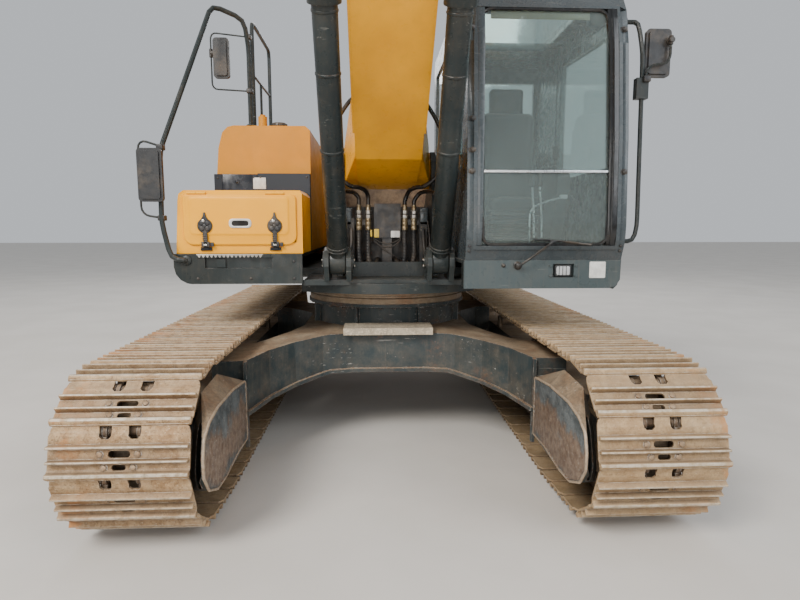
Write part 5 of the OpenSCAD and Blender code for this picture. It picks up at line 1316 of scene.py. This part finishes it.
def louvres(name, wall, spans, first, pitch, count, tall):
    """Blades across the slots of a side door whose outer face is at x = wall."""
    s = Shape()
    sign = math.copysign(1, wall)
    z1 = first + count * pitch
    for u0, u1 in spans:
        for z in range(first, z1, pitch):
            slant = ((3, 0.5), (5, 0.5), (21, tall - 0.5), (19, tall - 0.5))
            s.prism([(wall - sign * a, z + h) for a, h in slant], u0 + 1, u1 - 1, bevel=0)
        # a near-black sheet behind the blades: painted shade of the empty compartment
        s.mat = 1
        s.box(wall - sign * 34, wall - sign * 32, u0 - 8, u1 + 8, first - 12, z1, 0)
        s.mat = 0
    s.make(name + "_louvres", "orange void", ORANGE, body=name)


louvres("pump_door", -1388, [(-1900, -1500)], 1850, 26, 8, 12)
louvres("cooler_door", 1388, [(-1930, -1370), (-1290, -730)], 1480, 44, 14, 20)
piece = Shape()
for x in range(-520, -520 + 9 * 92, 92):
    for u in range(-1950, -1950 + 4 * 60, 60):
        piece.prism([(u, HOUSE_TOP + 78), (u + 2, HOUSE_TOP + 78), (u + 34, HOUSE_TOP + 60),
                     (u + 32, HOUSE_TOP + 60)], x + 1, x + 39, "uz", 0)
# a near-black sheet under the hood's blades: painted shade of the engine bay
piece.mat = 1
piece.prism(rounded(-530, 266, -1970, -1710, 10), HOUSE_TOP + 36, HOUSE_TOP + 39, "xu", 0)
piece.make("hood_louvres", "orange void", ORANGE, body="engine_hood")

# Small fasteners and a filler cover on the house
piece = Shape()
piece.nuts([(x, u, HOUSE_TOP + 0.3) for x in (-1340, -800) for u in (-2020, -1620, -1220)], UP, 9, 8)
piece.nuts([(x, u, HOUSE_TOP + 0.3) for x in (580, 1340) for u in (-2020, -1320, -640)], UP, 9, 8)
piece.turn(-900, -870, 2194, UP, [(0, 60), (4, 62), (10, 60), (14, 40), (16, 16), (26, 14), (28, 8)], 40)
piece.make("house_fasteners", "black", DARK)

# Handles on the hood
piece = Shape()
for x in (-420, 220):
    piece.sweep(path([(x + dx, -1330, HOUSE_TOP + h) for dx, h in ((0, 84), (0, 128), (180, 128),
                                                                   (180, 84))], 26), 8, 14)
    for end in (x, x + 180):
        piece.turn(end, -1330, HOUSE_TOP + 84.2, UP, [(0, 20), (4, 20), (7, 12), (9, 10)], 20)
piece.make("hood_handles", "dark", DARK, body="engine_hood")

# Retaining bolts of the pins, seen on their end faces
piece = Shape()
for d in (-1, 1):
    for x, way, spot, start, reach, r, h in ((372.3, 1, FOOT, 40, 34, 11, 9),
                                             (435.3, 1, LIFT_FOOT, 30, 26, 8, 7),
                                             (230.7, -1, LIFT_FOOT, 30, 26, 8, 7)):
        piece.nuts([(d * x, *p) for p in around(*spot, reach, even(3, start))], SIDE * d * way, r, h)
piece.make("pin_bolts", "zinc", STEEL)

# Camera, floor and light: focal length and image width in pixels of the photograph, the sensor in mm
FOCAL_LENGTH, IMAGE_WIDTH, SENSOR = 556, 800, 36
cam = bpy.data.cameras.new("camera")
cam.lens = FOCAL_LENGTH / IMAGE_WIDTH * SENSOR
cam.sensor_width = SENSOR
cam.clip_start = 0.05
cam_ob = bpy.data.objects.new("camera", cam)
cam_ob.location = (-0.10, SWING_Y - 4.58, 1.47)
cam_ob.rotation_euler = (math.radians(90 - 7.28), 0, math.radians(-2.68))
bpy.context.collection.objects.link(cam_ob)
bpy.context.scene.camera = cam_ob

bpy.ops.mesh.primitive_plane_add(size=120, location=(0, 0, -0.001))
floor = bpy.context.object
floor.name = "floor"
ground = Mat("floor")
ground.bump(ground.noise(35, 5), 0.12)
patches = ground.mix(ground.blot(1.1, 4, 0.3, 0.7), (0.60, 0.57, 0.53), (0.55, 0.52, 0.48))
floor.data.materials.append(ground.out(patches, 0.85))

world = bpy.data.worlds.new("world")
bpy.context.scene.world = world
world.use_nodes = True
sky = world.node_tree.nodes["Background"].inputs
sky["Color"].default_value = (0.86, 0.90, 0.95, 1)
sky["Strength"].default_value = 0.68


def area(name, loc, target, size, power, colour=(1, 1, 1)):
    li = bpy.data.lights.new(name, "AREA")
    li.shape = "RECTANGLE"
    li.size = size
    li.size_y = size
    li.energy = power
    li.color = colour
    ob = bpy.data.objects.new(name, li)
    ob.location = loc
    ob.rotation_euler = (Vector(target) - Vector(loc)).to_track_quat("-Z", "Y").to_euler()
    bpy.context.collection.objects.link(ob)


area("key", (-7, -8, 11), (0, 1.5, 1), 6, 2700, (1.0, 0.97, 0.92))
area("fill", (9, -6, 7), (0, 1.5, 1), 8, 850, (0.92, 0.96, 1.0))
area("low_front", (-1, -9, 2.2), (0, 1.0, 1.8), 6, 420, (1.0, 0.98, 0.95))
area("back", (0, 13, 9), (0, 2, 1), 8, 600)
